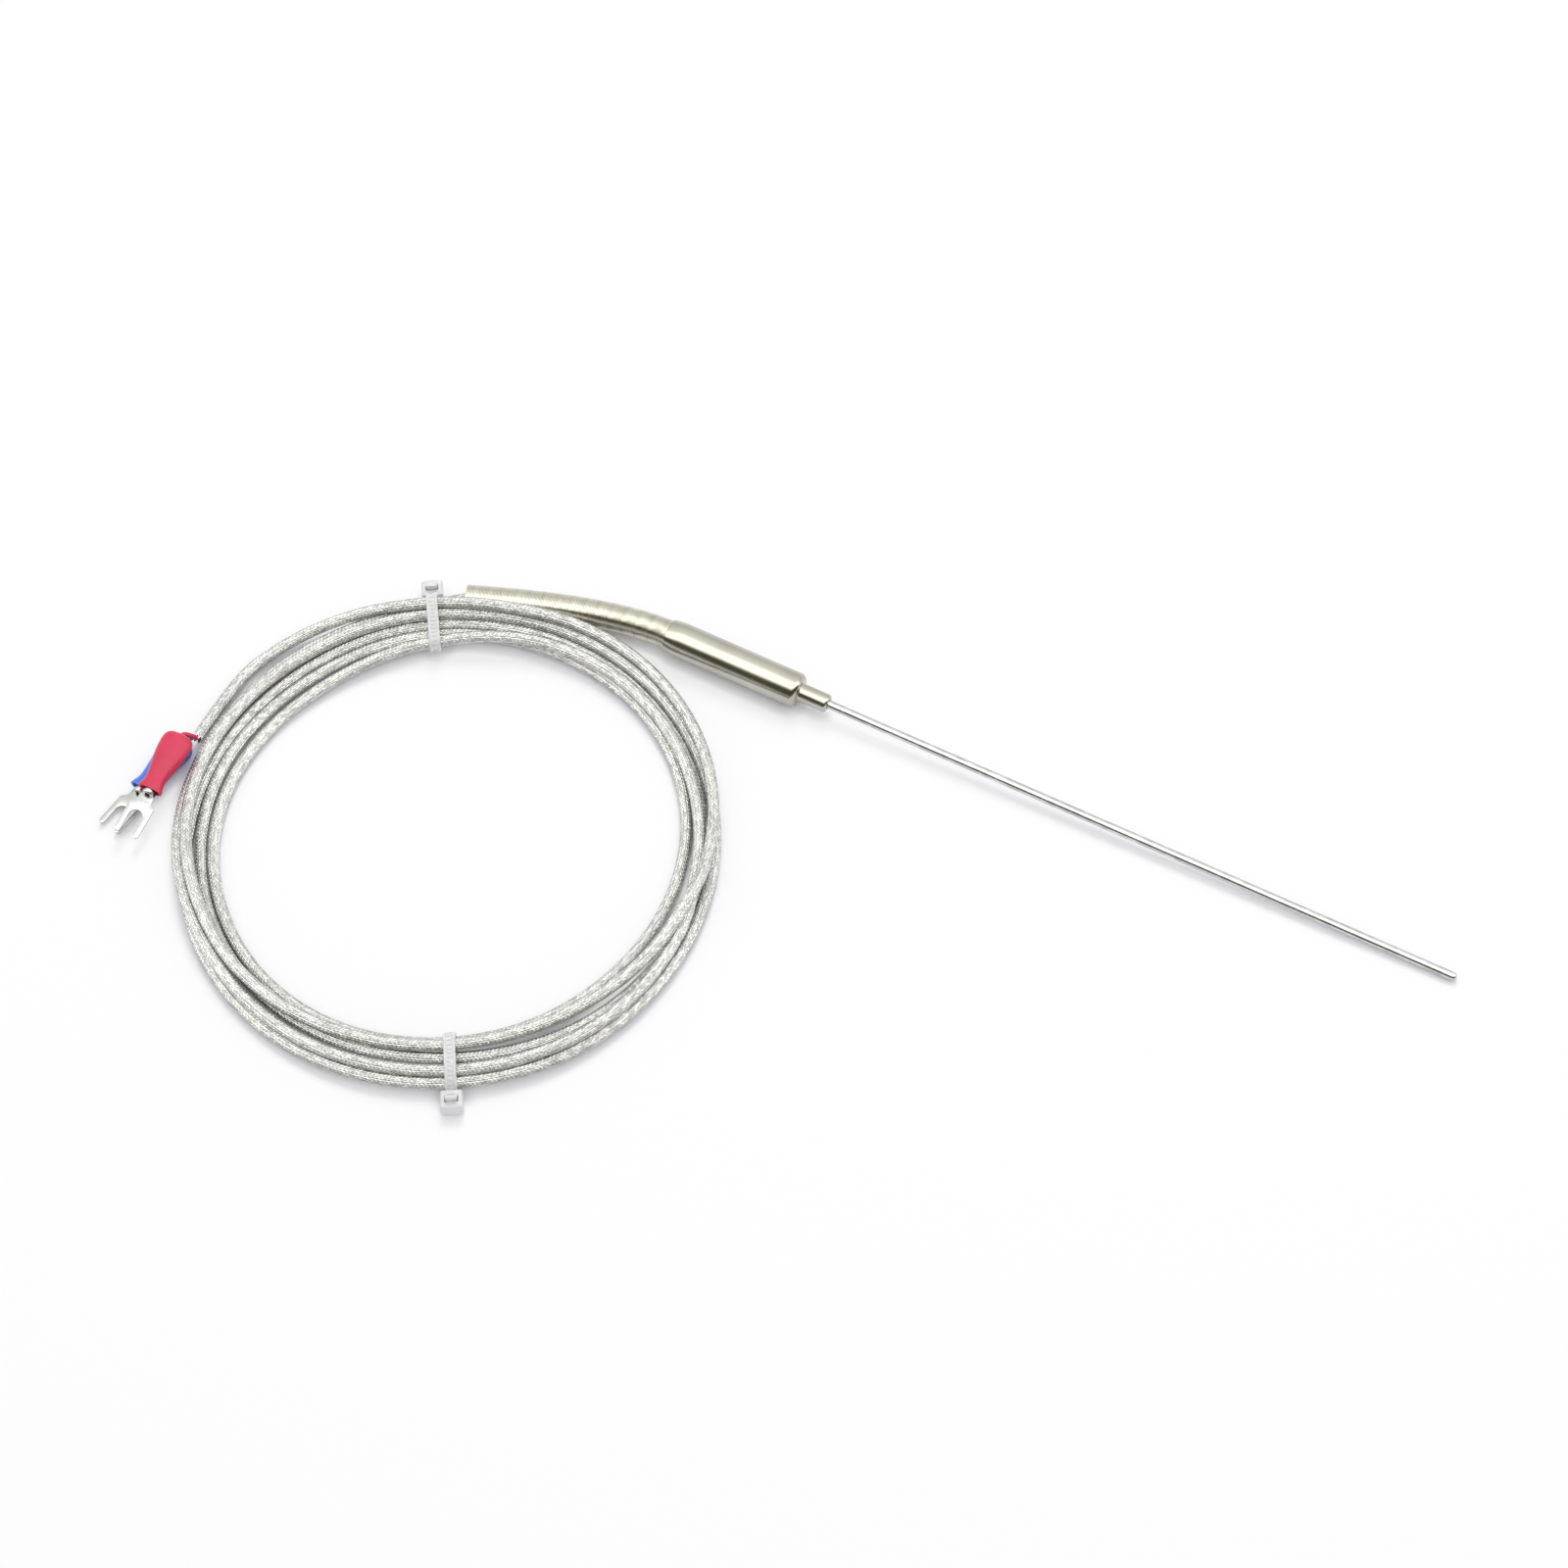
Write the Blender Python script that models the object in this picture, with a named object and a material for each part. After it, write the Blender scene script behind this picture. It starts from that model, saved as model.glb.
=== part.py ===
"""Sheathed thermocouple probe with a coiled, steel-braided lead and two fork terminals.

Metres, +Z up. The probe lies along +X with its tip at the +X end. The origin is on the surface
that the probe lies on, below the middle of sheath and sleeve.
"""
import bpy
import bmesh
from math import acos, atan2, ceil, cos, degrees, hypot, pi, radians, sin, sqrt
from mathutils import Matrix, Vector, geometry

# Clearances
SLIP_GAP = 0.0003          # between pieces that touch on the real probe
FIT_GAP = 0.00015          # radial gap of a turned fit
FINE_GAP = 0.00005         # radial gap inside the mineral-insulated sheath

# Measuring sheath
SHEATH_DIAMETER = 0.0020
SHEATH_WALL = 0.00025
SHEATH_FREE_LENGTH = 0.150
SHEATH_HELD_LENGTH = 0.0115
WIRE_DIAMETER = 0.00030
WIRE_SPACING = 0.00064
JUNCTION_DIAMETER = 0.00095
JUNCTION_SETBACK = 0.0012

# Transition sleeve, turned from one bar
SLEEVE_LENGTH = 0.033
SLEEVE_WALL = 0.00055
SHOULDER_CHAMFER = 0.0008
REAR_CHAMFER = 0.0003
NECK_LENGTH = 0.007
NECK_WALL = 0.00095
NECK_CHAMFER = 0.0004
SPRING_SEAT_DEPTH = 0.0085
SEAT_STEP = 0.0009
CHAMBER_FRONT_WALL = 0.0025

# Joints between thermoelements and lead conductors, inside the sleeve
SPLICE_DIAMETER = 0.0013
SPLICE_BORE = 0.0008
SPLICE_LENGTH = 0.0045
SPLICE_SPACING = 0.0020
SPLICE_STAND_OFF = 0.0025                  # between the sheath's rear end and the splices
SPLICE_OVERLAP = 0.4                       # share of a splice that each wire reaches into
CONDUCTOR_DIAMETER = 0.0011
CORE_DIAMETER = 0.0005
POTTING_WALL = 0.0006
POTTING_GRIP = 0.0012                      # how far the cement's narrow end covers the sheath

# Close-wound strain relief spring
SPRING_DIAMETER = 0.0066
SPRING_WIRE = 0.0007
SPRING_TURN_GAP = 0.0001
SPRING_POINTS_PER_TURN = 10
SPRING_END = (-0.0462, -0.0113, 0.0034)    # from the middle of the sleeve's rear face
SPRING_END_HEADING = 202.0
SPRING_HANDLES = (0.010, 0.022)

# Lead and its coil
LEAD_DIAMETER = 0.0027
COIL_RADIUS = 0.0560                       # a round guide between the inner and outer turns
COIL_CENTRE = (-0.0209, -0.0661)           # from the middle of the sleeve's rear face
COIL_LIFT = 0.0013
COIL_STATIONS = 60
COIL_COURSE = (                            # angle, inner and outer turn from the guide, upper row's share
    (0.0, -0.0038, 0.0028, 1.0),
    (26.0, -0.0029, 0.0020, 1.0),
    (48.0, -0.0022, 0.0034, 1.0),
    (70.0, -0.0021, 0.0040, 1.0),
    (90.0, -0.0031, 0.0030, 1.0),
    (110.0, -0.0055, -0.0003, 1.0),
    (120.0, -0.0064, -0.0006, 1.0),
    (128.0, -0.0068, -0.0002, 1.0),
    (138.0, -0.0071, 0.0018, 0.9),
    (150.0, -0.0074, 0.0022, 0.5),
    (165.0, -0.0071, 0.0019, 0.3),
    (180.0, -0.0060, 0.0019, 0.6),
    (194.0, -0.0048, 0.0022, 1.0),
    (206.0, -0.0037, 0.0025, 1.0),
    (220.0, -0.0028, 0.0018, 1.0),
    (232.0, -0.0026, 0.0024, 1.0),
    (248.0, -0.0031, 0.0029, 1.0),
    (270.0, -0.0045, 0.0030, 1.0),
    (296.0, -0.0051, 0.0030, 1.0),
    (320.0, -0.0048, 0.0031, 1.0),
    (340.0, -0.0043, 0.0032, 1.0),
)
RUN_END_ANGLE = 128.0
RUN_BOW = 0.0008                           # how far the run bows in on its way to the coil
TAIL_ANGLES = (141.0, 147.0, 154.0, 161.0, 167.0, 172.0, 177.0, 182.0)
TAIL_STAND_OFF = (0.0, 0.0005, 0.0014, 0.0021, 0.0019, 0.0013, 0.0007, 0.0006)
TAIL_RISE = (0.0013, 0.0010, 0.0005, 0.0001, 0.0002, 0.0006, 0.0011, 0.0015)

# Cable ties
TIE_WIDTH = 0.0025
TIE_THICKNESS = 0.0010
TIE_ANGLES = {"cable_tie_top": 122.0, "cable_tie_bottom": -60.0}
TIE_HEAD = (0.0044, 0.0048, 0.0040)        # along the radius, round the coil, upwards
TIE_HEAD_BEVEL = 0.0006
TIE_STUB_LENGTH = 0.0016

# Crimped fork terminals
INSULATOR_LENGTH = 0.0145
INSULATOR_SECTIONS = (                     # share of its length, half width, half height
    (0.00, 0.00335, 0.00190),
    (0.06, 0.00355, 0.00205),
    (0.31, 0.00345, 0.00205),
    (0.59, 0.00250, 0.00195),
    (0.72, 0.00235, 0.00190),
    (0.90, 0.00275, 0.00185),
    (1.00, 0.00295, 0.00180),
)
FUNNEL_BORE = 0.0030
FUNNEL_TAPER = 0.0010
WIRE_BEND_INSET = 0.0005                   # where a wire is straight again inside the insulator
BARREL_DIAMETER = 0.0026
BARREL_BORE = 0.0014
BARREL_LENGTH = 0.0065
TONGUE_THICKNESS = 0.0008
TONGUE_WIDTH = 0.0058
TONGUE_NECK_WIDTH = 0.0034
TONGUE_NECK_LENGTH = 0.0022
TONGUE_LENGTH = 0.0112
FORK_SLOT = 0.0032
FORK_SLOT_LENGTH = 0.0062
PRONG_CHAMFER = 0.0005
TONGUE_DROP = 0.0009
TERMINALS = {                              # rear end from the sleeve's rear face, heading, slope, roll
    "blue": {"rear": (-0.0849, -0.0716, 0.0021), "heading": -99.0, "slope": 0.0, "roll": 0.0},
    "red": {"rear": (-0.0843, -0.0722, 0.0066), "heading": -88.0, "slope": -4.0, "roll": -8.0},
}

# Values worked out from the sizes above
OVERALL_LENGTH = SLEEVE_LENGTH + NECK_LENGTH + SHEATH_FREE_LENGTH
SHEATH_RADIUS = SHEATH_DIAMETER / 2
SPRING_PITCH = SPRING_WIRE + SPRING_TURN_GAP
SPRING_RADIUS = SPRING_DIAMETER / 2
SEAT_RADIUS = SPRING_RADIUS + FIT_GAP
SLEEVE_RADIUS = SEAT_RADIUS + SLEEVE_WALL
CHAMBER_RADIUS = SEAT_RADIUS - SEAT_STEP
SHEATH_BORE = SHEATH_RADIUS + FIT_GAP
NECK_RADIUS = SHEATH_BORE + NECK_WALL
LEAD_RADIUS = LEAD_DIAMETER / 2
NECK_END = SLEEVE_LENGTH + NECK_LENGTH
SHEATH_REAR = NECK_END - SHEATH_HELD_LENGTH
CHAMBER_FRONT = SLEEVE_LENGTH - CHAMBER_FRONT_WALL
REAR_X = -OVERALL_LENGTH / 2


def rest_tilt():
    """Slope of the probe when the sleeve's front edge and the round tip both touch the surface."""
    span = OVERALL_LENGTH - SHEATH_RADIUS - (SLEEVE_LENGTH - SHOULDER_CHAMFER)
    reach = hypot(SLEEVE_RADIUS, span)
    return acos(SHEATH_RADIUS / reach) - atan2(span, SLEEVE_RADIUS)


TILT = rest_tilt()
REAR_HEIGHT = SHEATH_RADIUS + (OVERALL_LENGTH - SHEATH_RADIUS) * sin(TILT)
REAR_POINT = Vector((REAR_X, 0.0, REAR_HEIGHT))
AXIS_BACK = Vector((-cos(TILT), 0.0, sin(TILT)))


def from_rear(x, y, z):
    """A world point given from the sleeve's rear face, its height from the surface."""
    return Vector((REAR_X + x, y, z))


def clear_scene():
    for obj in list(bpy.data.objects):
        bpy.data.objects.remove(obj, do_unlink=True)


def material(name, colour, roughness, metallic):
    mat = bpy.data.materials.new(name)
    mat.use_nodes = True
    shader = mat.node_tree.nodes["Principled BSDF"]
    shader.inputs["Base Color"].default_value = (*colour, 1.0)
    shader.inputs["Roughness"].default_value = roughness
    shader.inputs["Metallic"].default_value = metallic
    mat.diffuse_color = (*colour, 1.0)
    return mat


def finish(name, bm, mat, smooth_angle=35.0):
    """Turn a bmesh into a named object with outward faces and its material."""
    bmesh.ops.recalc_face_normals(bm, faces=bm.faces)
    mesh = bpy.data.meshes.new(name)
    bm.to_mesh(mesh)
    bm.free()
    mesh.materials.append(mat)
    mesh.shade_smooth()
    mesh.set_sharp_from_angle(angle=radians(smooth_angle))
    obj = bpy.data.objects.new(name, mesh)
    bpy.context.scene.collection.objects.link(obj)
    return obj


def bridge_rings(bm, rings, closed):
    """Skin a list of equal vertex rings; a closed list joins its last ring to its first."""
    count = len(rings[0])
    pairs = list(zip(rings, rings[1:]))
    if closed:
        pairs.append((rings[-1], rings[0]))
    for ring_a, ring_b in pairs:
        for k in range(count):
            n = (k + 1) % count
            bm.faces.new((ring_a[k], ring_a[n], ring_b[n], ring_b[k]))


def cap_rings(bm, rings):
    bm.faces.new(list(reversed(rings[0])))
    bm.faces.new(rings[-1])


def lathe(name, profile, mat, segments=32, closed=True, smooth_angle=35.0):
    """Turn a profile of (place, radius) points about the X axis.

    A closed profile goes round a wall with a hole through it; an open one starts and ends on the axis.
    """
    bm = bmesh.new()
    rings = []
    for place, radius in profile:
        if radius <= 0.0:
            rings.append([bm.verts.new((place, 0.0, 0.0))])
            continue
        ring = []
        for k in range(segments):
            angle = 2 * pi * k / segments
            ring.append(bm.verts.new((place, radius * cos(angle), radius * sin(angle))))
        rings.append(ring)
    pairs = list(zip(rings, rings[1:]))
    if closed:
        pairs.append((rings[-1], rings[0]))
    for ring_a, ring_b in pairs:
        for k in range(segments):
            n = (k + 1) % segments
            if len(ring_a) == 1:
                bm.faces.new((ring_a[0], ring_b[n], ring_b[k]))
            elif len(ring_b) == 1:
                bm.faces.new((ring_a[k], ring_a[n], ring_b[0]))
            else:
                bm.faces.new((ring_a[k], ring_a[n], ring_b[n], ring_b[k]))
    return finish(name, bm, mat, smooth_angle)


def dome(centre, radius, steps=4):
    """Profile points of a quarter round from the rim of a round end to its pole."""
    points = []
    for k in range(1, steps + 1):
        angle = (pi / 2) * k / steps
        points.append((centre + radius * sin(angle), radius * cos(angle) if k < steps else 0.0))
    return points


def frames_along(points):
    """Tangents and two turning normals carried along a line of points."""
    tangents = []
    for i in range(len(points)):
        ahead = points[min(i + 1, len(points) - 1)]
        behind = points[max(i - 1, 0)]
        tangents.append((ahead - behind).normalized())
    normal = tangents[0].orthogonal().normalized()
    frames = []
    for tangent in tangents:
        normal = (normal - tangent * normal.dot(tangent)).normalized()
        frames.append((tangent, normal, tangent.cross(normal)))
    return frames


def swept_tube(name, points, radii, sides, mat):
    """A round tube along points, with its own radius at each of them and flat ends."""
    bm = bmesh.new()
    rings = []
    for point, radius, (_, across, up) in zip(points, radii, frames_along(points)):
        ring = []
        for k in range(sides):
            angle = 2 * pi * k / sides
            ring.append(bm.verts.new(point + (across * cos(angle) + up * sin(angle)) * radius))
        rings.append(ring)
    bridge_rings(bm, rings, closed=False)
    cap_rings(bm, rings)
    return finish(name, bm, mat)


def spline_points(route, spacing):
    """Even points on a smooth curve through a route, about one spacing apart."""
    padded = [route[0] * 2 - route[1], *route, route[-1] * 2 - route[-2]]
    fine = []
    for i in range(1, len(padded) - 2):
        before, start, end, after = padded[i - 1:i + 3]
        handle_a = start + (end - before) / 6
        handle_b = end - (after - start) / 6
        piece = geometry.interpolate_bezier(start, handle_a, handle_b, end, 25)
        fine.extend(piece if i == 1 else piece[1:])
    return even_points(fine, spacing)


def even_points(fine, spacing):
    """The same line as evenly spaced points, both ends kept."""
    travelled = [0.0]
    for a, b in zip(fine, fine[1:]):
        travelled.append(travelled[-1] + (b - a).length)
    count = max(2, ceil(travelled[-1] / spacing) + 1)
    result = []
    i = 0
    for k in range(count):
        target = travelled[-1] * k / (count - 1)
        while i < len(fine) - 2 and travelled[i + 1] < target:
            i += 1
        step = travelled[i + 1] - travelled[i]
        result.append(fine[i].lerp(fine[i + 1], min(1.0, (target - travelled[i]) / step)))
    return result


def cord_tube(name, points, diameter, mat):
    """A plain cord: a poly curve with a round bevel and filled ends."""
    curve = bpy.data.curves.new(name, "CURVE")
    curve.dimensions = "3D"
    curve.bevel_depth = diameter / 2
    curve.bevel_resolution = 2
    curve.use_fill_caps = True
    spline = curve.splines.new("POLY")
    spline.points.add(len(points) - 1)
    for target, point in zip(spline.points, points):
        target.co = (*point, 1.0)
    curve.materials.append(mat)
    obj = bpy.data.objects.new(name, curve)
    bpy.context.scene.collection.objects.link(obj)
    return obj


def smooth_step(value, low, high):
    share = min(1.0, max(0.0, (value - low) / (high - low)))
    return share * share * (3 - 2 * share)


# The coil as a bundle of turns: a lower row and an upper row in its hollows

ROW_HEIGHT = LEAD_DIAMETER * sqrt(3) / 2
BUNDLE_HEIGHT = LEAD_DIAMETER + ROW_HEIGHT


def course_at(angle):
    """Inner turn, outer turn and upper row at an angle, on a smooth line through the course."""
    knots = [(row[0] + turn, *row[1:]) for turn in (-360.0, 0.0, 360.0) for row in COIL_COURSE]
    place = angle % 360.0
    i = 1
    while knots[i + 1][0] <= place:
        i += 1
    before, low, high, after = knots[i - 1:i + 3]
    span = high[0] - low[0]
    t = (place - low[0]) / span
    values = []
    for k in (1, 2, 3):
        slope_low = (high[k] - before[k]) / (high[0] - before[0]) * span
        slope_high = (after[k] - low[k]) / (after[0] - low[0]) * span
        ease = t * t * (3 - 2 * t)
        bend = slope_low * t * (1 - t) ** 2 - slope_high * t * t * (1 - t)
        values.append(low[k] + (high[k] - low[k]) * ease + bend)
    return values


def spring_room(angle):
    """How far out a turn's middle can lie at an angle and still clear the spring."""
    reach = SPRING_RADIUS + SLIP_GAP + LEAD_RADIUS
    middle = from_rear(*COIL_CENTRE, 0.0)
    room = 2 * COIL_RADIUS
    for point in spring_axis():
        offset = point - middle
        turned = atan2(offset.y, offset.x) - radians(angle)
        distance = hypot(offset.x, offset.y)
        spare = reach * reach - (distance * sin(turned)) ** 2
        if spare > 0.0 and cos(turned) > 0.0:
            room = min(room, distance * cos(turned) - sqrt(spare))
    return room


def coil_turns_at(angle):
    """Radii of the inner and outer turns' middles and the upper row's rise at an angle."""
    inner, outer, raised = course_at(angle)
    return COIL_RADIUS + inner, min(COIL_RADIUS + outer, spring_room(angle)), ROW_HEIGHT * raised


def coil_inner_at(angle):
    return coil_turns_at(angle)[0] - LEAD_RADIUS


def coil_outer_at(angle):
    return coil_turns_at(angle)[1] + LEAD_RADIUS


def bundle_outline(inner, outer, rise, arc_steps=3):
    """Outline round the turns at one place: (radius, height) points from their underside."""
    lean = degrees(atan2(LEAD_RADIUS, rise))
    corners = (
        (inner, LEAD_RADIUS, 180.0 - lean, 270.0),
        (outer, LEAD_RADIUS, 270.0, 360.0 + lean),
        (outer - LEAD_RADIUS, LEAD_RADIUS + rise, lean, 90.0),
        (inner + LEAD_RADIUS, LEAD_RADIUS + rise, 90.0, 180.0 - lean),
    )
    outline = []
    for out, up, first, last in corners:
        for k in range(arc_steps + 1):
            angle = radians(first + (last - first) * k / arc_steps)
            outline.append((out + LEAD_RADIUS * cos(angle), up + LEAD_RADIUS * sin(angle)))
    return outline


def polar(angle, radius, height):
    """A world point given round the coil's middle."""
    turn = radians(angle)
    x = COIL_CENTRE[0] + radius * cos(turn)
    y = COIL_CENTRE[1] + radius * sin(turn)
    return from_rear(x, y, height)


# Probe

def make_sleeve(mat, holder):
    """Barrel, shoulder and neck with the spring's seat, the joint chamber and the sheath's bore."""
    profile = [
        (0.0, SEAT_RADIUS),
        (0.0, SLEEVE_RADIUS - REAR_CHAMFER),
        (REAR_CHAMFER, SLEEVE_RADIUS),
        (SLEEVE_LENGTH - SHOULDER_CHAMFER, SLEEVE_RADIUS),
        (SLEEVE_LENGTH, SLEEVE_RADIUS - SHOULDER_CHAMFER),
        (SLEEVE_LENGTH, NECK_RADIUS),
        (NECK_END - NECK_CHAMFER, NECK_RADIUS),
        (NECK_END, NECK_RADIUS - NECK_CHAMFER),
        (NECK_END, SHEATH_BORE),
        (CHAMBER_FRONT, SHEATH_BORE),
        (CHAMBER_FRONT, CHAMBER_RADIUS),
        (SPRING_SEAT_DEPTH, CHAMBER_RADIUS),
        (SPRING_SEAT_DEPTH, SEAT_RADIUS),
    ]
    obj = lathe("transition_sleeve", profile, mat, segments=40)
    obj.parent = holder


def make_sheath(mat, holder):
    """Drawn tube, open in the sleeve and welded shut with a round tip."""
    bore = SHEATH_RADIUS - SHEATH_WALL
    weld = OVERALL_LENGTH - SHEATH_RADIUS
    inside = [(weld, bore)] + dome(weld, bore)
    outside = [(weld, SHEATH_RADIUS)] + dome(weld, SHEATH_RADIUS)
    profile = [*reversed(inside), (SHEATH_REAR, bore), (SHEATH_REAR, SHEATH_RADIUS), *outside]
    obj = lathe("probe_sheath", profile, mat, segments=20, closed=False)
    obj.parent = holder


def make_insulation(mat, holder, cutter_mat):
    """Pressed mineral rod with two holes for the thermoelements."""
    radius = SHEATH_RADIUS - SHEATH_WALL - FINE_GAP
    front = junction_place() - JUNCTION_DIAMETER / 2 - FINE_GAP
    rear = SHEATH_REAR + FINE_GAP
    rod = lathe("mineral_insulation", [(rear, 0.0), (rear, radius), (front, radius), (front, 0.0)],
                mat, segments=16, closed=False)
    rod.parent = holder
    for side in (-1, 1):
        hole_radius = WIRE_DIAMETER / 2 + FINE_GAP
        ends = (rear - SHEATH_DIAMETER, front + SHEATH_DIAMETER)
        cutter = lathe(f"insulation_hole_{side}",
                       [(ends[0], 0.0), (ends[0], hole_radius), (ends[1], hole_radius), (ends[1], 0.0)],
                       cutter_mat, segments=12, closed=False)
        cutter.location = (0.0, side * WIRE_SPACING / 2, 0.0)
        cutter.parent = holder
        cutter.hide_render = True
        cutter.display_type = "WIRE"
        cut = rod.modifiers.new(f"hole_{side}", "BOOLEAN")
        cut.operation = "DIFFERENCE"
        cut.solver = "EXACT"
        cut.object = cutter


def junction_place():
    """Middle of the welded bead, from the sleeve's rear face."""
    return OVERALL_LENGTH - SHEATH_WALL - JUNCTION_SETBACK


def make_junction(mat, holder):
    """Welded bead that joins the two thermoelements."""
    radius = JUNCTION_DIAMETER / 2
    profile = []
    for k in range(9):
        angle = pi * k / 8
        edge = k in (0, 8)
        profile.append((junction_place() - radius * cos(angle), 0.0 if edge else radius * sin(angle)))
    obj = lathe("hot_junction", profile, mat, segments=12, closed=False)
    obj.parent = holder


def splice_front():
    return SHEATH_REAR - SPLICE_STAND_OFF


def splice_rear():
    return splice_front() - SPLICE_LENGTH


def make_thermoelement(name, side, mat, holder):
    """Wire from the bead through the mineral rod into its splice."""
    bead_reach = sqrt((JUNCTION_DIAMETER / 2) ** 2 - (WIRE_SPACING / 2 - WIRE_DIAMETER / 2) ** 2)
    inner = side * WIRE_SPACING / 2
    outer = side * SPLICE_SPACING / 2
    start = splice_front() - SPLICE_LENGTH * SPLICE_OVERLAP
    bend_end = SHEATH_REAR - FINE_GAP
    places = [(start, outer), (splice_front(), outer)]
    for k in range(1, 6):
        share = k / 6
        ease = share * share * (3 - 2 * share)
        places.append((splice_front() + (bend_end - splice_front()) * share, outer + (inner - outer) * ease))
    places += [(bend_end, inner), (junction_place() - bead_reach - FINE_GAP, inner)]
    points = [Vector((place, offset, 0.0)) for place, offset in places]
    obj = swept_tube(name, points, [WIRE_DIAMETER / 2] * len(points), 8, mat)
    obj.parent = holder


def make_splice(name, side, mat, holder):
    """Crimped tube that joins a thermoelement to a lead conductor."""
    front = splice_front()
    profile = [
        (splice_rear(), SPLICE_BORE / 2),
        (splice_rear(), SPLICE_DIAMETER / 2),
        (front, SPLICE_DIAMETER / 2),
        (front, SPLICE_BORE / 2),
    ]
    obj = lathe(name, profile, mat, segments=16)
    obj.location = (0.0, side * SPLICE_SPACING / 2, 0.0)
    obj.parent = holder


def lead_start():
    """Where the braid ends inside the sleeve."""
    return SPRING_SEAT_DEPTH - SLIP_GAP


def make_inner_conductor(name, side, mat, holder):
    """Insulated conductor out of the braid's end, its bare core in the splice."""
    start = lead_start() + SLIP_GAP
    offset = side * SPLICE_SPACING / 2
    spread = side * (CONDUCTOR_DIAMETER / 2 + FINE_GAP)
    bare = splice_rear() - SLIP_GAP
    places = [(start, spread), (start + (bare - start) * 0.5, (spread + offset) / 2), (bare, offset)]
    points = [Vector((place, out, 0.0)) for place, out in places]
    radii = [CONDUCTOR_DIAMETER / 2] * 3
    core_end = splice_rear() + SPLICE_LENGTH * SPLICE_OVERLAP
    points += [Vector((bare + FINE_GAP, offset, 0.0)), Vector((core_end, offset, 0.0))]
    radii += [CORE_DIAMETER / 2] * 2
    obj = swept_tube(name, points, radii, 10, mat)
    obj.parent = holder


def make_potting(mat, holder):
    """Cement between the sleeve's wall, the joints and the sheath's rear end."""
    outer = CHAMBER_RADIUS - FIT_GAP
    inner = outer - POTTING_WALL
    front = CHAMBER_FRONT - FIT_GAP
    step = SHEATH_REAR + POTTING_GRIP
    profile = [
        (SPRING_SEAT_DEPTH + SLIP_GAP, inner),
        (SPRING_SEAT_DEPTH + SLIP_GAP, outer),
        (front, outer),
        (front, SHEATH_BORE),
        (step, SHEATH_BORE),
        (step, inner),
    ]
    obj = lathe("potting_cement", profile, mat, segments=28)
    obj.parent = holder


# Strain relief spring and lead

def spring_axis():
    """Middle line of the spring: straight in its seat, then bent towards the coil."""
    seat = REAR_POINT - AXIS_BACK * (SPRING_SEAT_DEPTH - SLIP_GAP)
    end = from_rear(*SPRING_END)
    heading = Vector((cos(radians(SPRING_END_HEADING)), sin(radians(SPRING_END_HEADING)), 0.0))
    handle_a = REAR_POINT + AXIS_BACK * SPRING_HANDLES[0]
    handle_b = end - heading * SPRING_HANDLES[1]
    bend = geometry.interpolate_bezier(REAR_POINT, handle_a, handle_b, end, 60)
    straight = [seat.lerp(REAR_POINT, k / 10) for k in range(10)]
    return straight + list(bend)


def make_spring(mat):
    """Close-wound spring of round wire along the bent middle line."""
    axis = even_points(spring_axis(), SPRING_PITCH / SPRING_POINTS_PER_TURN)
    frames = frames_along(axis)
    mean_radius = SPRING_RADIUS - SPRING_WIRE / 2
    inset = ceil(SPRING_WIRE / 2 / (SPRING_PITCH / SPRING_POINTS_PER_TURN))
    wire = []
    for i in range(inset, len(axis) - inset):
        angle = 2 * pi * i / SPRING_POINTS_PER_TURN
        _, across, up = frames[i]
        wire.append(axis[i] + (across * cos(angle) + up * sin(angle)) * mean_radius)
    swept_tube("strain_relief_spring", wire, [SPRING_WIRE / 2] * len(wire), 5, mat)


def spring_end_angle():
    return degrees(atan2(SPRING_END[1] - COIL_CENTRE[1], SPRING_END[0] - COIL_CENTRE[0]))


def run_route():
    """The lead inside the spring, out of its end and up to the coil's outer turns."""
    axis = spring_axis()
    inside = even_points(axis, LEAD_DIAMETER * 2.5)
    start = REAR_POINT - AXIS_BACK * lead_start()
    inside[0] = start
    end_angle = spring_end_angle()
    end_radius = hypot(SPRING_END[0] - COIL_CENTRE[0], SPRING_END[1] - COIL_CENTRE[1])
    touch = coil_outer_at(RUN_END_ANGLE) + LEAD_RADIUS + 2 * SLIP_GAP
    height = COIL_LIFT + LEAD_RADIUS
    outside = []
    for share in (0.35, 0.6, 0.8, 1.0):
        angle = end_angle + (RUN_END_ANGLE - end_angle) * share
        radius = end_radius + (touch - end_radius) * share - RUN_BOW * sin(pi * share)
        outside.append(polar(angle, radius, SPRING_END[2] + (height - SPRING_END[2]) * share))
    return inside + outside


def tail_route():
    """The loose end: off the coil, round its outside and up to the terminals."""
    points = []
    for angle, stand_off, rise in zip(TAIL_ANGLES, TAIL_STAND_OFF, TAIL_RISE):
        radius = coil_outer_at(angle) + LEAD_RADIUS + SLIP_GAP + stand_off
        points.append(polar(angle, radius, LEAD_RADIUS + rise))
    return points


def make_coil(mat):
    """The wound turns as one ring of their outer shape along the coil's course."""
    bm = bmesh.new()
    rings = []
    for k in range(COIL_STATIONS):
        angle = 360.0 * k / COIL_STATIONS
        outline = bundle_outline(*coil_turns_at(angle))
        rings.append([bm.verts.new(polar(angle, radius, COIL_LIFT + up)) for radius, up in outline])
    bridge_rings(bm, rings, closed=True)
    finish("lead_coil", bm, mat)


def make_lead(mat):
    spacing = LEAD_DIAMETER * 2.2
    cord_tube("lead_run", spline_points(run_route(), spacing), LEAD_DIAMETER, mat)
    cord_tube("lead_tail", spline_points(tail_route(), spacing), LEAD_DIAMETER, mat)
    make_coil(mat)


# Cable ties

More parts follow.
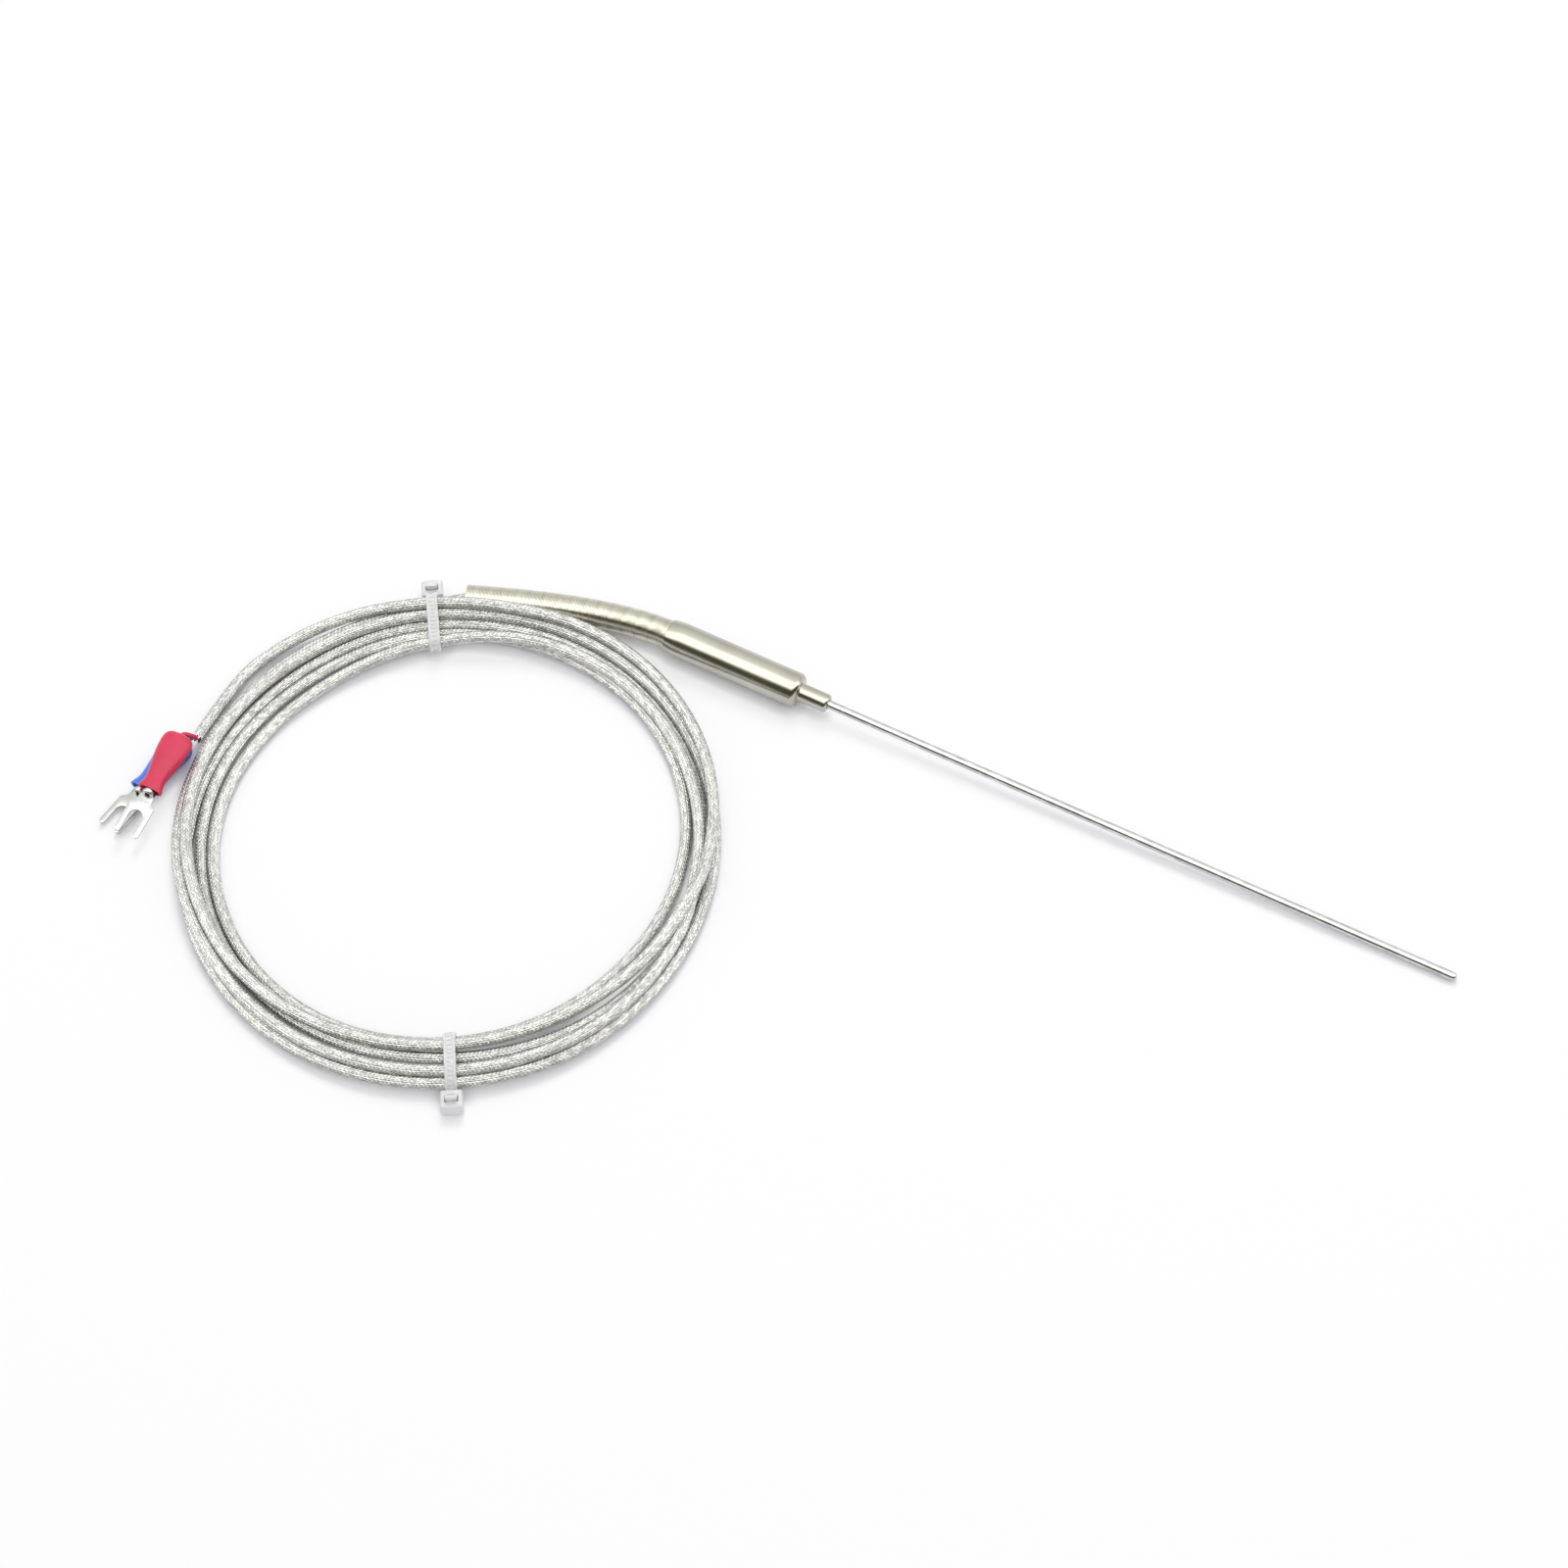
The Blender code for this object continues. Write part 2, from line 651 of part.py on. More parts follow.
def rounded_loop(inner, outer, low, high, corner, steps=4):
    """Corners of a rounded rectangle as (outwards, upwards) points."""
    corner = min(corner, (outer - inner) / 2, (high - low) / 2)
    centres = (
        (outer - corner, low + corner, -90.0),
        (outer - corner, high - corner, 0.0),
        (inner + corner, high - corner, 90.0),
        (inner + corner, low + corner, 180.0),
    )
    points = []
    for out, up, first in centres:
        for k in range(steps + 1):
            angle = radians(first + 90.0 * k / steps)
            points.append((out + corner * cos(angle), up + corner * sin(angle)))
    return points


def run_radius_at(angle):
    """Distance of the lead's run from the coil's middle where it passes an angle."""
    best = None
    middle = from_rear(*COIL_CENTRE, 0.0)
    for point in spline_points(run_route(), LEAD_DIAMETER / 4):
        offset = point - middle
        miss = abs(degrees(atan2(offset.y, offset.x)) - angle)
        if best is None or miss < best[0]:
            best = (miss, hypot(offset.x, offset.y))
    return best[1]


def make_tie(name, angle, mat):
    """One moulded strap, closed through its own head and cut off short."""
    inner = coil_inner_at(angle) - SLIP_GAP
    outer = coil_outer_at(angle) + SLIP_GAP
    if spring_end_angle() < angle < RUN_END_ANGLE:
        outer = run_radius_at(angle) + LEAD_RADIUS + SLIP_GAP
    low = COIL_LIFT - SLIP_GAP
    high = COIL_LIFT + BUNDLE_HEIGHT + SLIP_GAP
    thick = TIE_THICKNESS
    inside = rounded_loop(inner, outer, low, high, LEAD_RADIUS)
    outside = rounded_loop(inner - thick, outer + thick, low - thick, high + thick, LEAD_RADIUS + thick)
    bm = bmesh.new()
    rings = []
    for loop, side in ((outside, -1), (outside, 1), (inside, 1), (inside, -1)):
        rings.append([bm.verts.new((out, side * TIE_WIDTH / 2, up)) for out, up in loop])
    bridge_rings(bm, rings, closed=True)
    strap = finish(name, bm, mat)
    turn = Matrix.Rotation(radians(angle), 4, "Z")
    place = Matrix.Translation(from_rear(*COIL_CENTRE, 0.0)) @ turn
    strap.matrix_world = place

    head_low = low - thick
    head_middle = Vector((outer + FINE_GAP + TIE_HEAD[0] / 2, 0.0, head_low + TIE_HEAD[2] / 2))
    head = box(f"{name}_head", TIE_HEAD, head_middle, mat)
    head.matrix_world = place
    bevel = head.modifiers.new("rounded_edges", "BEVEL")
    bevel.width = TIE_HEAD_BEVEL
    bevel.segments = 2
    stub_size = (thick, TIE_WIDTH, TIE_STUB_LENGTH + TIE_HEAD[2] / 2)
    stub_middle = head_middle + Vector((0.0, 0.0, stub_size[2] / 2))
    stub = box(f"{name}_stub", stub_size, stub_middle, mat)
    stub.matrix_world = place
    for other in (head, stub):
        other.hide_render = True
        other.display_type = "WIRE"
        join = strap.modifiers.new(other.name, "BOOLEAN")
        join.operation = "UNION"
        join.solver = "EXACT"
        join.object = other


def box(name, size, middle, mat):
    bm = bmesh.new()
    bmesh.ops.create_cube(bm, size=1.0)
    bmesh.ops.scale(bm, vec=size, verts=bm.verts)
    bmesh.ops.translate(bm, vec=middle, verts=bm.verts)
    return finish(name, bm, mat)


# Terminals

def terminal_place(spec):
    """World matrix of a terminal: its X runs from the wire's end to the fork."""
    yaw = Matrix.Rotation(radians(spec["heading"]), 4, "Z")
    pitch = Matrix.Rotation(-radians(spec["slope"]), 4, "Y")
    roll = Matrix.Rotation(radians(spec["roll"]), 4, "X")
    return Matrix.Translation(from_rear(*spec["rear"])) @ yaw @ pitch @ roll


def insulator_section(place):
    """Half width and half height of the insulator at a share of its length."""
    for (x0, w0, h0), (x1, w1, h1) in zip(INSULATOR_SECTIONS, INSULATOR_SECTIONS[1:]):
        if place <= x1:
            ease = smooth_step(place, x0, x1)
            return w0 + (w1 - w0) * ease, h0 + (h1 - h0) * ease
    return INSULATOR_SECTIONS[-1][1:]


def make_insulator(colour, mat, spec):
    """Moulded sleeve: wide at the wire's end, crimped to a waist and spread at the tongue."""
    segments = 20
    bm = bmesh.new()
    rings = []

    def oval(place, half_width, half_height):
        ring = []
        for k in range(segments):
            angle = 2 * pi * k / segments
            ring.append(bm.verts.new((place, half_width * cos(angle), half_height * sin(angle))))
        rings.append(ring)

    steps = 10
    for k in range(steps + 1):
        oval(INSULATOR_LENGTH * k / steps, *insulator_section(k / steps))
    bore = BARREL_DIAMETER / 2 + FIT_GAP
    barrel_rear = INSULATOR_LENGTH - BARREL_LENGTH
    funnel = FUNNEL_BORE / 2
    inside = ((INSULATOR_LENGTH, bore), (barrel_rear, bore), (barrel_rear - FUNNEL_TAPER, funnel), (0.0, funnel))
    for place, radius in inside:
        oval(place, radius, radius)
    bridge_rings(bm, rings, closed=True)
    obj = finish(f"insulator_{colour}", bm, mat)
    obj.matrix_world = terminal_place(spec)


def fork_outline():
    """Outline of the stamped tongue: neck, shoulders, two prongs and the slot between them."""
    neck = TONGUE_NECK_WIDTH / 2
    half = TONGUE_WIDTH / 2
    slot = FORK_SLOT / 2
    shoulder = TONGUE_NECK_LENGTH + (half - neck)
    tip = TONGUE_LENGTH
    slot_floor = tip - FORK_SLOT_LENGTH
    upper = [
        (0.0, neck),
        (TONGUE_NECK_LENGTH, neck),
        (shoulder, half),
        (tip - PRONG_CHAMFER, half),
        (tip, half - PRONG_CHAMFER),
        (tip, slot + PRONG_CHAMFER / 2),
        (tip - PRONG_CHAMFER / 2, slot),
    ]
    arc = []
    for k in range(9):
        angle = radians(90.0 + 180.0 * k / 8)
        arc.append((slot_floor + slot + slot * cos(angle), slot * sin(angle)))
    lower = [(x, -y) for x, y in reversed(upper)]
    return upper + arc + lower


def make_fork(colour, mat, spec):
    """Tinned tongue with its crimp barrel, stamped from one sheet."""
    name = f"fork_terminal_{colour}"
    bm = bmesh.new()
    start = INSULATOR_LENGTH + FINE_GAP
    top = TONGUE_THICKNESS / 2 - TONGUE_DROP
    bottom = -TONGUE_THICKNESS / 2 - TONGUE_DROP
    rings = [[bm.verts.new((start + x, y, z)) for x, y in fork_outline()] for z in (bottom, top)]
    bridge_rings(bm, rings, closed=False)
    cap_rings(bm, rings)
    tongue = finish(name, bm, mat)
    place = terminal_place(spec)
    tongue.matrix_world = place
    barrel_radius = BARREL_DIAMETER / 2
    barrel_end = INSULATOR_LENGTH + TONGUE_NECK_LENGTH * 0.5
    barrel_start = INSULATOR_LENGTH - BARREL_LENGTH
    profile = [
        (barrel_start, BARREL_BORE / 2),
        (barrel_start, barrel_radius),
        (barrel_end, barrel_radius),
        (barrel_end, BARREL_BORE / 2),
    ]
    barrel = lathe(f"{name}_barrel", profile, mat, segments=20)
    barrel.matrix_world = place
    barrel.hide_render = True
    barrel.display_type = "WIRE"
    join = tongue.modifiers.new("barrel", "BOOLEAN")
    join.operation = "UNION"
    join.solver = "EXACT"
    join.object = barrel


def make_conductor(colour, mat, spec, side):
    """Insulated wire from the braid's end into the barrel, stripped at its tip."""
    route = tail_route()
    end = route[-1]
    ahead = (route[-1] - route[-2]).normalized()
    across = Vector((-ahead.y, ahead.x, 0.0)).normalized()
    radius = CONDUCTOR_DIAMETER / 2
    start = end + ahead * SLIP_GAP + across * side * (radius + FINE_GAP)
    place = terminal_place(spec)
    strip = INSULATOR_LENGTH - BARREL_LENGTH - SLIP_GAP
    funnel = place @ Vector((WIRE_BEND_INSET, 0.0, 0.0))
    into = (place @ Vector((strip, 0.0, 0.0)) - funnel).normalized()
    reach = (funnel - start).length
    bend = geometry.interpolate_bezier(start, start + ahead * reach * 0.4, funnel - into * reach * 0.4,
                                       funnel, 10)
    points = list(bend)
    radii = [radius] * len(points)
    points.append(place @ Vector((strip, 0.0, 0.0)))
    radii.append(radius)
    points.append(place @ Vector((strip + FINE_GAP, 0.0, 0.0)))
    points.append(place @ Vector((INSULATOR_LENGTH - SLIP_GAP, 0.0, 0.0)))
    radii += [CORE_DIAMETER / 2] * 2
    swept_tube(f"conductor_{colour}", points, radii, 10, mat)


def build():
    clear_scene()
    steel = material("sleeve_steel", (0.62, 0.61, 0.55), 0.28, 1.0)
    sheath_steel = material("sheath_steel", (0.55, 0.55, 0.56), 0.35, 1.0)
    spring_steel = material("spring_steel", (0.58, 0.56, 0.47), 0.25, 1.0)
    braid = material("braid", (0.55, 0.55, 0.54), 0.40, 0.9)
    mineral = material("mineral", (0.85, 0.84, 0.80), 0.90, 0.0)
    cement = material("cement", (0.70, 0.66, 0.55), 0.85, 0.0)
    positive = material("positive_alloy", (0.60, 0.58, 0.54), 0.35, 1.0)
    negative = material("negative_alloy", (0.50, 0.50, 0.52), 0.35, 1.0)
    copper = material("crimp_metal", (0.72, 0.70, 0.68), 0.35, 1.0)
    red = material("red_vinyl", (0.78, 0.05, 0.12), 0.40, 0.0)
    blue = material("blue_vinyl", (0.10, 0.25, 0.75), 0.40, 0.0)
    tinned = material("tinned_copper", (0.80, 0.80, 0.80), 0.25, 1.0)
    nylon = material("natural_nylon", (0.85, 0.85, 0.82), 0.35, 0.0)
    hidden = material("cutter", (0.5, 0.5, 0.5), 0.5, 0.0)

    holder = bpy.data.objects.new("probe_axis", None)
    bpy.context.scene.collection.objects.link(holder)
    holder.location = REAR_POINT
    holder.rotation_euler = (0.0, TILT, 0.0)

    make_sleeve(steel, holder)
    make_sheath(sheath_steel, holder)
    make_insulation(mineral, holder, hidden)
    make_junction(positive, holder)
    make_thermoelement("thermoelement_positive", -1, positive, holder)
    make_thermoelement("thermoelement_negative", 1, negative, holder)
    make_splice("splice_positive", -1, copper, holder)
    make_splice("splice_negative", 1, copper, holder)
    make_inner_conductor("lead_core_positive", -1, red, holder)
    make_inner_conductor("lead_core_negative", 1, blue, holder)
    make_potting(cement, holder)
    make_spring(spring_steel)
    make_lead(braid)
    for name, angle in TIE_ANGLES.items():
        make_tie(name, angle, nylon)
    for colour, mat, side in (("red", red, 1), ("blue", blue, -1)):
        spec = TERMINALS[colour]
        make_insulator(colour, mat, spec)
        make_fork(colour, tinned, spec)
        make_conductor(colour, mat, spec, side)
    bpy.context.view_layer.update()


build()
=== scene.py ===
import random
import bpy
import bmesh
from bisect import bisect_right
from math import acos, atan2, ceil, cos, degrees, exp, floor, hypot, pi, radians, sin, sqrt
from mathutils import Matrix, Vector, geometry


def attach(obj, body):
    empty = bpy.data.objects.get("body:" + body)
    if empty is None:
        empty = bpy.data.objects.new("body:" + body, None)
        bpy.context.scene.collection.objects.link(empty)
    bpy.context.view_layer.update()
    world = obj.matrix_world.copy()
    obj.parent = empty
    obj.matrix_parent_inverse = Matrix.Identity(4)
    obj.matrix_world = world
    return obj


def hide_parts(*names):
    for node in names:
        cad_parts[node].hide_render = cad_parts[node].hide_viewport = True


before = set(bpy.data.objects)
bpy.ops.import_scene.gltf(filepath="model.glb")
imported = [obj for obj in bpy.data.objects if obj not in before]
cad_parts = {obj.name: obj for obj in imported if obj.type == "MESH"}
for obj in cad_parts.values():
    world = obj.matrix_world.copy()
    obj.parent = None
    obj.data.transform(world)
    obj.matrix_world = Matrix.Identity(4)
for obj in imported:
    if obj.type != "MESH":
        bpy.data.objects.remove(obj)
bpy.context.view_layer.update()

studioScene = bpy.context.scene
print("frame loaded")

camera = {
    "azimuth": 26.287,       # degrees, from the probe's own side view
    "elevation": 61.0,
    "distance": 0.75,        # metres from the floor point in the middle of the picture
    "target": (-0.05586, -0.02078, 0.0),
    "focalPixels": 3450.0,   # for a picture 1600 pixels wide
    "pictureWidth": 1600.0,
    "sensor": 36.0,
}


def makeCamera(spec):
    az, el = radians(spec["azimuth"]), radians(spec["elevation"])
    look = Vector((-sin(az) * cos(el), cos(az) * cos(el), -sin(el)))
    data = bpy.data.cameras.new("photoCamera")
    data.sensor_width = spec["sensor"]
    data.lens = spec["sensor"] * spec["focalPixels"] / spec["pictureWidth"]
    data.clip_start = 0.01
    obj = bpy.data.objects.new("photoCamera", data)
    studioScene.collection.objects.link(obj)
    obj.location = Vector(spec["target"]) - look * spec["distance"]
    obj.rotation_euler = look.to_track_quat("-Z", "Y").to_euler()
    studioScene.camera = obj


makeCamera(camera)


# small helpers for shader and geometry nodes

def newMaterial(name, colour, roughness, metallic=0.0):
    mat = bpy.data.materials.new(name)
    mat.use_nodes = True
    shader = mat.node_tree.nodes["Principled BSDF"]
    shader.inputs["Base Color"].default_value = (*colour, 1.0)
    shader.inputs["Roughness"].default_value = roughness
    shader.inputs["Metallic"].default_value = metallic
    return mat, shader


def addNode(tree, kind, inputs=None, **settings):
    # inputs go by name or number, and each is a value or the socket that feeds it
    node = tree.nodes.new(kind)
    for key, value in settings.items():
        setattr(node, key, value)
    for key, value in (inputs or {}).items():
        if isinstance(value, bpy.types.NodeSocket):
            tree.links.new(value, node.inputs[key])
        else:
            node.inputs[key].default_value = value
    return node


def mathNode(tree, operation, *values):
    return addNode(tree, "ShaderNodeMath", dict(enumerate(values)), operation=operation).outputs[0]


def vectorNode(tree, operation, a, b=None, scale=None):
    inputs = {key: value for key, value in ((0, a), (1, b), ("Scale", scale)) if value is not None}
    node = addNode(tree, "ShaderNodeVectorMath", inputs, operation=operation)
    return node.outputs["Value" if operation == "DOT_PRODUCT" else "Vector"]


def rampNode(tree, source, stops):
    node = addNode(tree, "ShaderNodeValToRGB", {0: source})
    ramp = node.color_ramp
    while len(ramp.elements) < len(stops):
        ramp.elements.new(0.5)
    for element, (place, colour) in zip(ramp.elements, stops):
        element.position = place
        element.color = (*colour, 1.0)
    return node.outputs[0]


def bumpNode(tree, shader, height, strength, distance):
    node = addNode(tree, "ShaderNodeBump", {"Height": height, "Strength": strength, "Distance": distance})
    tree.links.new(node.outputs[0], shader.inputs["Normal"])


def noiseNode(tree, vector, scale, detail, roughness=0.5):
    return addNode(tree, "ShaderNodeTexNoise", {"Vector": vector, "Scale": scale, "Detail": detail,
                                                "Roughness": roughness}).outputs["Fac"]


def stretched(tree, vector, scale):
    return addNode(tree, "ShaderNodeMapping", {"Vector": vector, "Scale": scale}).outputs[0]


# materials with grain: colour, roughness and relief all follow noise in the metal or the moulding
fineShare = 0.4    # of the fine grain, the rest is broad

def grainyMaterial(name, spec):
    mat, shader = newMaterial(name, spec["colour"], spec["roughness"], spec.get("metallic", 0.0))
    tree = mat.node_tree
    place = addNode(tree, "ShaderNodeTexCoord").outputs["Object"]
    even = (1.0, 1.0, 1.0)
    fine = noiseNode(tree, stretched(tree, place, spec.get("stretch", even)), spec["fine"], 4.0, 0.6)
    broad = noiseNode(tree, stretched(tree, place, spec.get("broadStretch", even)), spec["broad"], 3.0)
    mixed = mathNode(tree, "ADD", mathNode(tree, "MULTIPLY", fine, fineShare),
                     mathNode(tree, "MULTIPLY", broad, 1.0 - fineShare))
    dark, light = (tuple(min(1.0, c * level) for c in spec["colour"])
                   for level in (1.0 - spec["contrast"], 1.0 + spec["contrast"]))
    tree.links.new(rampNode(tree, mixed, ((0.32, dark), (0.68, light))), shader.inputs["Base Color"])
    spread = spec["roughSpread"]
    rough = mathNode(tree, "MULTIPLY_ADD", mixed, spread, spec["roughness"] - spread / 2)
    tree.links.new(rough, shader.inputs["Roughness"])
    bumpNode(tree, shader, fine, spec["bump"], spec["depth"])
    for socket, value in spec.get("sockets", {}).items():
        shader.inputs[socket].default_value = value
    return mat


finishes = {
    "turnedSteel": {"colour": (0.50, 0.492, 0.435), "roughness": 0.17, "metallic": 1.0, "fine": 900.0,
                    "stretch": (6.0, 0.05, 0.05), "broad": 130.0, "broadStretch": (1.0, 0.3, 0.3),
                    "contrast": 0.10, "roughSpread": 0.12, "bump": 0.25, "depth": 0.00002},
    "drawnSteel": {"colour": (0.64, 0.64, 0.65), "roughness": 0.24, "metallic": 1.0, "fine": 2600.0,
                   "stretch": (0.06, 1.0, 1.0), "broad": 420.0,
                   "contrast": 0.26, "roughSpread": 0.22, "bump": 0.30, "depth": 0.00003},
    "springSteel": {"colour": (0.68, 0.665, 0.575), "roughness": 0.12, "metallic": 1.0, "fine": 3000.0,
                    "broad": 260.0, "contrast": 0.12, "roughSpread": 0.10,
                    "bump": 0.12, "depth": 0.00001},
    "braidShadow": {"colour": (0.055, 0.053, 0.046), "roughness": 0.60, "metallic": 0.2, "fine": 2600.0,
                    "broad": 900.0, "contrast": 0.35, "roughSpread": 0.2, "bump": 0.4, "depth": 0.00005},
    "clearNylon": {"colour": (0.97, 0.972, 0.965), "roughness": 0.30, "fine": 1400.0, "broad": 240.0,
                   "contrast": 0.05, "roughSpread": 0.16, "bump": 0.10, "depth": 0.00005,
                   "sockets": {"Transmission Weight": 0.24, "IOR": 1.53, "Subsurface Weight": 0.35,
                               "Subsurface Radius": (0.002, 0.002, 0.002)}},
    "redVinyl": {"colour": (0.66, 0.028, 0.085), "roughness": 0.36, "fine": 2200.0, "broad": 300.0,
                 "contrast": 0.12, "roughSpread": 0.14, "bump": 0.14, "depth": 0.00006,
                 "sockets": {"Coat Weight": 0.2, "Coat Roughness": 0.2}},
    "blueVinyl": {"colour": (0.075, 0.21, 0.74), "roughness": 0.36, "fine": 2200.0, "broad": 300.0,
                  "contrast": 0.12, "roughSpread": 0.14, "bump": 0.14, "depth": 0.00006,
                  "sockets": {"Coat Weight": 0.2, "Coat Roughness": 0.2}},
    "tinPlate": {"colour": (0.56, 0.56, 0.565), "roughness": 0.24, "metallic": 1.0, "fine": 1500.0,
                 "stretch": (1.0, 0.4, 1.0), "broad": 350.0, "contrast": 0.10, "roughSpread": 0.2,
                 "bump": 0.18, "depth": 0.00003},
    "wireAlloy": {"colour": (0.58, 0.57, 0.54), "roughness": 0.35, "metallic": 1.0, "fine": 4000.0,
                  "stretch": (0.1, 1.0, 1.0), "broad": 500.0, "contrast": 0.15, "roughSpread": 0.15,
                  "bump": 0.2, "depth": 0.00002},
    "pressedMineral": {"colour": (0.83, 0.82, 0.78), "roughness": 0.90, "fine": 5000.0, "broad": 700.0,
                       "contrast": 0.10, "roughSpread": 0.08, "bump": 0.5, "depth": 0.00008},
    "castCement": {"colour": (0.68, 0.64, 0.53), "roughness": 0.85, "fine": 3200.0, "broad": 500.0,
                   "contrast": 0.16, "roughSpread": 0.1, "bump": 0.5, "depth": 0.0001},
}
mats = {name: grainyMaterial(name, spec) for name, spec in finishes.items()}
braidWires = 5     # side by side in each ribbon of the braid


def braidMaterial():
    mat, shader = newMaterial("braidedSteel", (0.74, 0.74, 0.73), 0.20, 1.0)
    tree = mat.node_tree
    place = addNode(tree, "ShaderNodeUVMap", uv_map="UVMap").outputs[0]
    across = addNode(tree, "ShaderNodeSeparateXYZ", {0: place})
    wires = mathNode(tree, "SINE", mathNode(tree, "MULTIPLY", across.outputs[0], 2 * pi * braidWires))
    wear = addNode(tree, "ShaderNodeAttribute", attribute_name="wear")
    tint = rampNode(tree, wear.outputs["Fac"], ((0.0, (0.54, 0.54, 0.53)), (0.5, (0.74, 0.74, 0.73)),
                                                (1.0, (0.94, 0.94, 0.93))))
    # painted shade: the base colour darkens by a tenth in the grooves between the fine wires, in step with
    # their relief
    shade = mathNode(tree, "MULTIPLY_ADD", wires, 0.10, 0.90)
    grey = addNode(tree, "ShaderNodeCombineColor", {0: shade, 1: shade, 2: shade})
    mix = addNode(tree, "ShaderNodeMix", {"Factor": 1.0}, data_type="RGBA", blend_type="MULTIPLY")
    for source, socket in zip((tint, grey.outputs[0]), [s for s in mix.inputs if s.type == "RGBA"]):
        tree.links.new(source, socket)
    tree.links.new([s for s in mix.outputs if s.type == "RGBA"][0], shader.inputs["Base Color"])
    bumpNode(tree, shader, wires, 0.25, 0.00003)
    return mat


# mesh helpers

def addObject(name, data):
    obj = bpy.data.objects.new(name, data)
    studioScene.collection.objects.link(obj)
    return obj


def meshObject(name, vertices, faces, mat, uvs=None):
    mesh = bpy.data.meshes.new(name)
    mesh.from_pydata([tuple(v) for v in vertices], [], faces)
    if uvs is not None:
        layer = mesh.uv_layers.new(name="UVMap")
        for loop in mesh.loops:
            layer.data[loop.index].uv = uvs[loop.vertex_index]
    mesh.update()
    mesh.shade_smooth()
    mesh.materials.append(mat)
    return addObject(name, mesh)


def outward(obj, sharp=40.0):
    bm = bmesh.new()
    bm.from_mesh(obj.data)
    bmesh.ops.recalc_face_normals(bm, faces=bm.faces)
    bm.to_mesh(obj.data)
    bm.free()
    obj.data.shade_smooth()
    obj.data.set_sharp_from_angle(angle=radians(sharp))
    return obj


def ringFaces(rows, count, closed):
    faces = []
    for i in range(rows if closed else rows - 1):
        j = (i + 1) % rows
        for k in range(count):
            n = (k + 1) % count
            faces.append((i * count + k, i * count + n, j * count + n, j * count + k))
    if not closed:
        faces.append(tuple(range(count - 1, -1, -1)))
        faces.append(tuple((rows - 1) * count + k for k in range(count)))
    return faces


def bakeModifiers(obj):
    graph = bpy.context.evaluated_depsgraph_get()
    mesh = bpy.data.meshes.new_from_object(obj.evaluated_get(graph))
    name = obj.name
    bpy.data.objects.remove(obj, do_unlink=True)
    result = addObject(name, mesh)
    result.name = name
    return result


def joinInto(target, others):
    bm = bmesh.new()
    bm.from_mesh(target.data)
    for other in others:
        bm.from_mesh(other.data)
        bpy.data.objects.remove(other, do_unlink=True)
    bm.to_mesh(target.data)
    bm.free()
    return target


def evenPoints(fine, spacing):
    travelled = [0.0]
    for a, b in zip(fine, fine[1:]):
        travelled.append(travelled[-1] + (b - a).length)
    count = max(2, ceil(travelled[-1] / spacing) + 1)
    result, i = [], 0
    for k in range(count):
        target = travelled[-1] * k / (count - 1)
        while i < len(fine) - 2 and travelled[i + 1] < target:
            i += 1
        step = max(1e-12, travelled[i + 1] - travelled[i])
        result.append(fine[i].lerp(fine[i + 1], min(1.0, (target - travelled[i]) / step)))
    return result


def smoothLine(route, steps):
    padded = [route[0] * 2 - route[1], *route, route[-1] * 2 - route[-2]]
    fine = [route[0]]
    for i in range(1, len(padded) - 2):
        before, start, end, after = padded[i - 1:i + 3]
        fine.extend(geometry.interpolate_bezier(start, start + (end - before) / 6,
                                                end - (after - start) / 6, end, steps)[1:])
    return fine


def smoothStep(value, low, high):
    share = min(1.0, max(0.0, (value - low) / (high - low)))
    return share * share * (3 - 2 * share)


def easedRow(rows, at):
    # both values of a table of (place, value, value), on a smooth curve through its rows
    i = min(max(bisect_right(rows, at, key=lambda row: row[0]) - 1, 0), len(rows) - 2)
    low, high = rows[i], rows[i + 1]
    before, after = rows[max(i - 1, 0)], rows[min(i + 2, len(rows) - 1)]
    span = high[0] - low[0]
    t = min(1.0, max(0.0, (at - low[0]) / span))
    values = []
    for k in (1, 2):
        slopeLow = (high[k] - before[k]) / (high[0] - before[0]) * span
        slopeHigh = (after[k] - low[k]) / (after[0] - low[0]) * span
        values.append(low[k] + (high[k] - low[k]) * (t * t * (3 - 2 * t)) + slopeLow * t * (1 - t) ** 2
                      - slopeHigh * t * t * (1 - t))
    return values


def rounded(corners, steps=5):
    # corners are (place, radius, rounding), back as points with each corner turned into a short arc
    points = []
    count = len(corners)
    for i, (x, r, rounding) in enumerate(corners):
        here = Vector((x, r))
        if rounding <= 0.0:
            points.append(here)
            continue
        before = Vector(corners[i - 1][:2]) - here
        after = Vector(corners[(i + 1) % count][:2]) - here
        start = here + before.normalized() * min(rounding, before.length * 0.48)
        end = here + after.normalized() * min(rounding, after.length * 0.48)
        for k in range(steps + 1):
            t = k / steps
            points.append(start * (1 - t) ** 2 + here * 2 * t * (1 - t) + end * t * t)
    return points


def lathe(name, profile, mat, place, segments=96):
    vertices, rows = [], []
    for point in profile:
        row = []
        for k in range(segments):
            angle = 2 * pi * k / segments
            row.append(len(vertices))
            vertices.append(place @ Vector((point[0], point[1] * cos(angle), point[1] * sin(angle))))
        rows.append(row)
    faces = ringFaces(len(rows), segments, True)
    return outward(meshObject(name, vertices, faces, mat), 50.0)


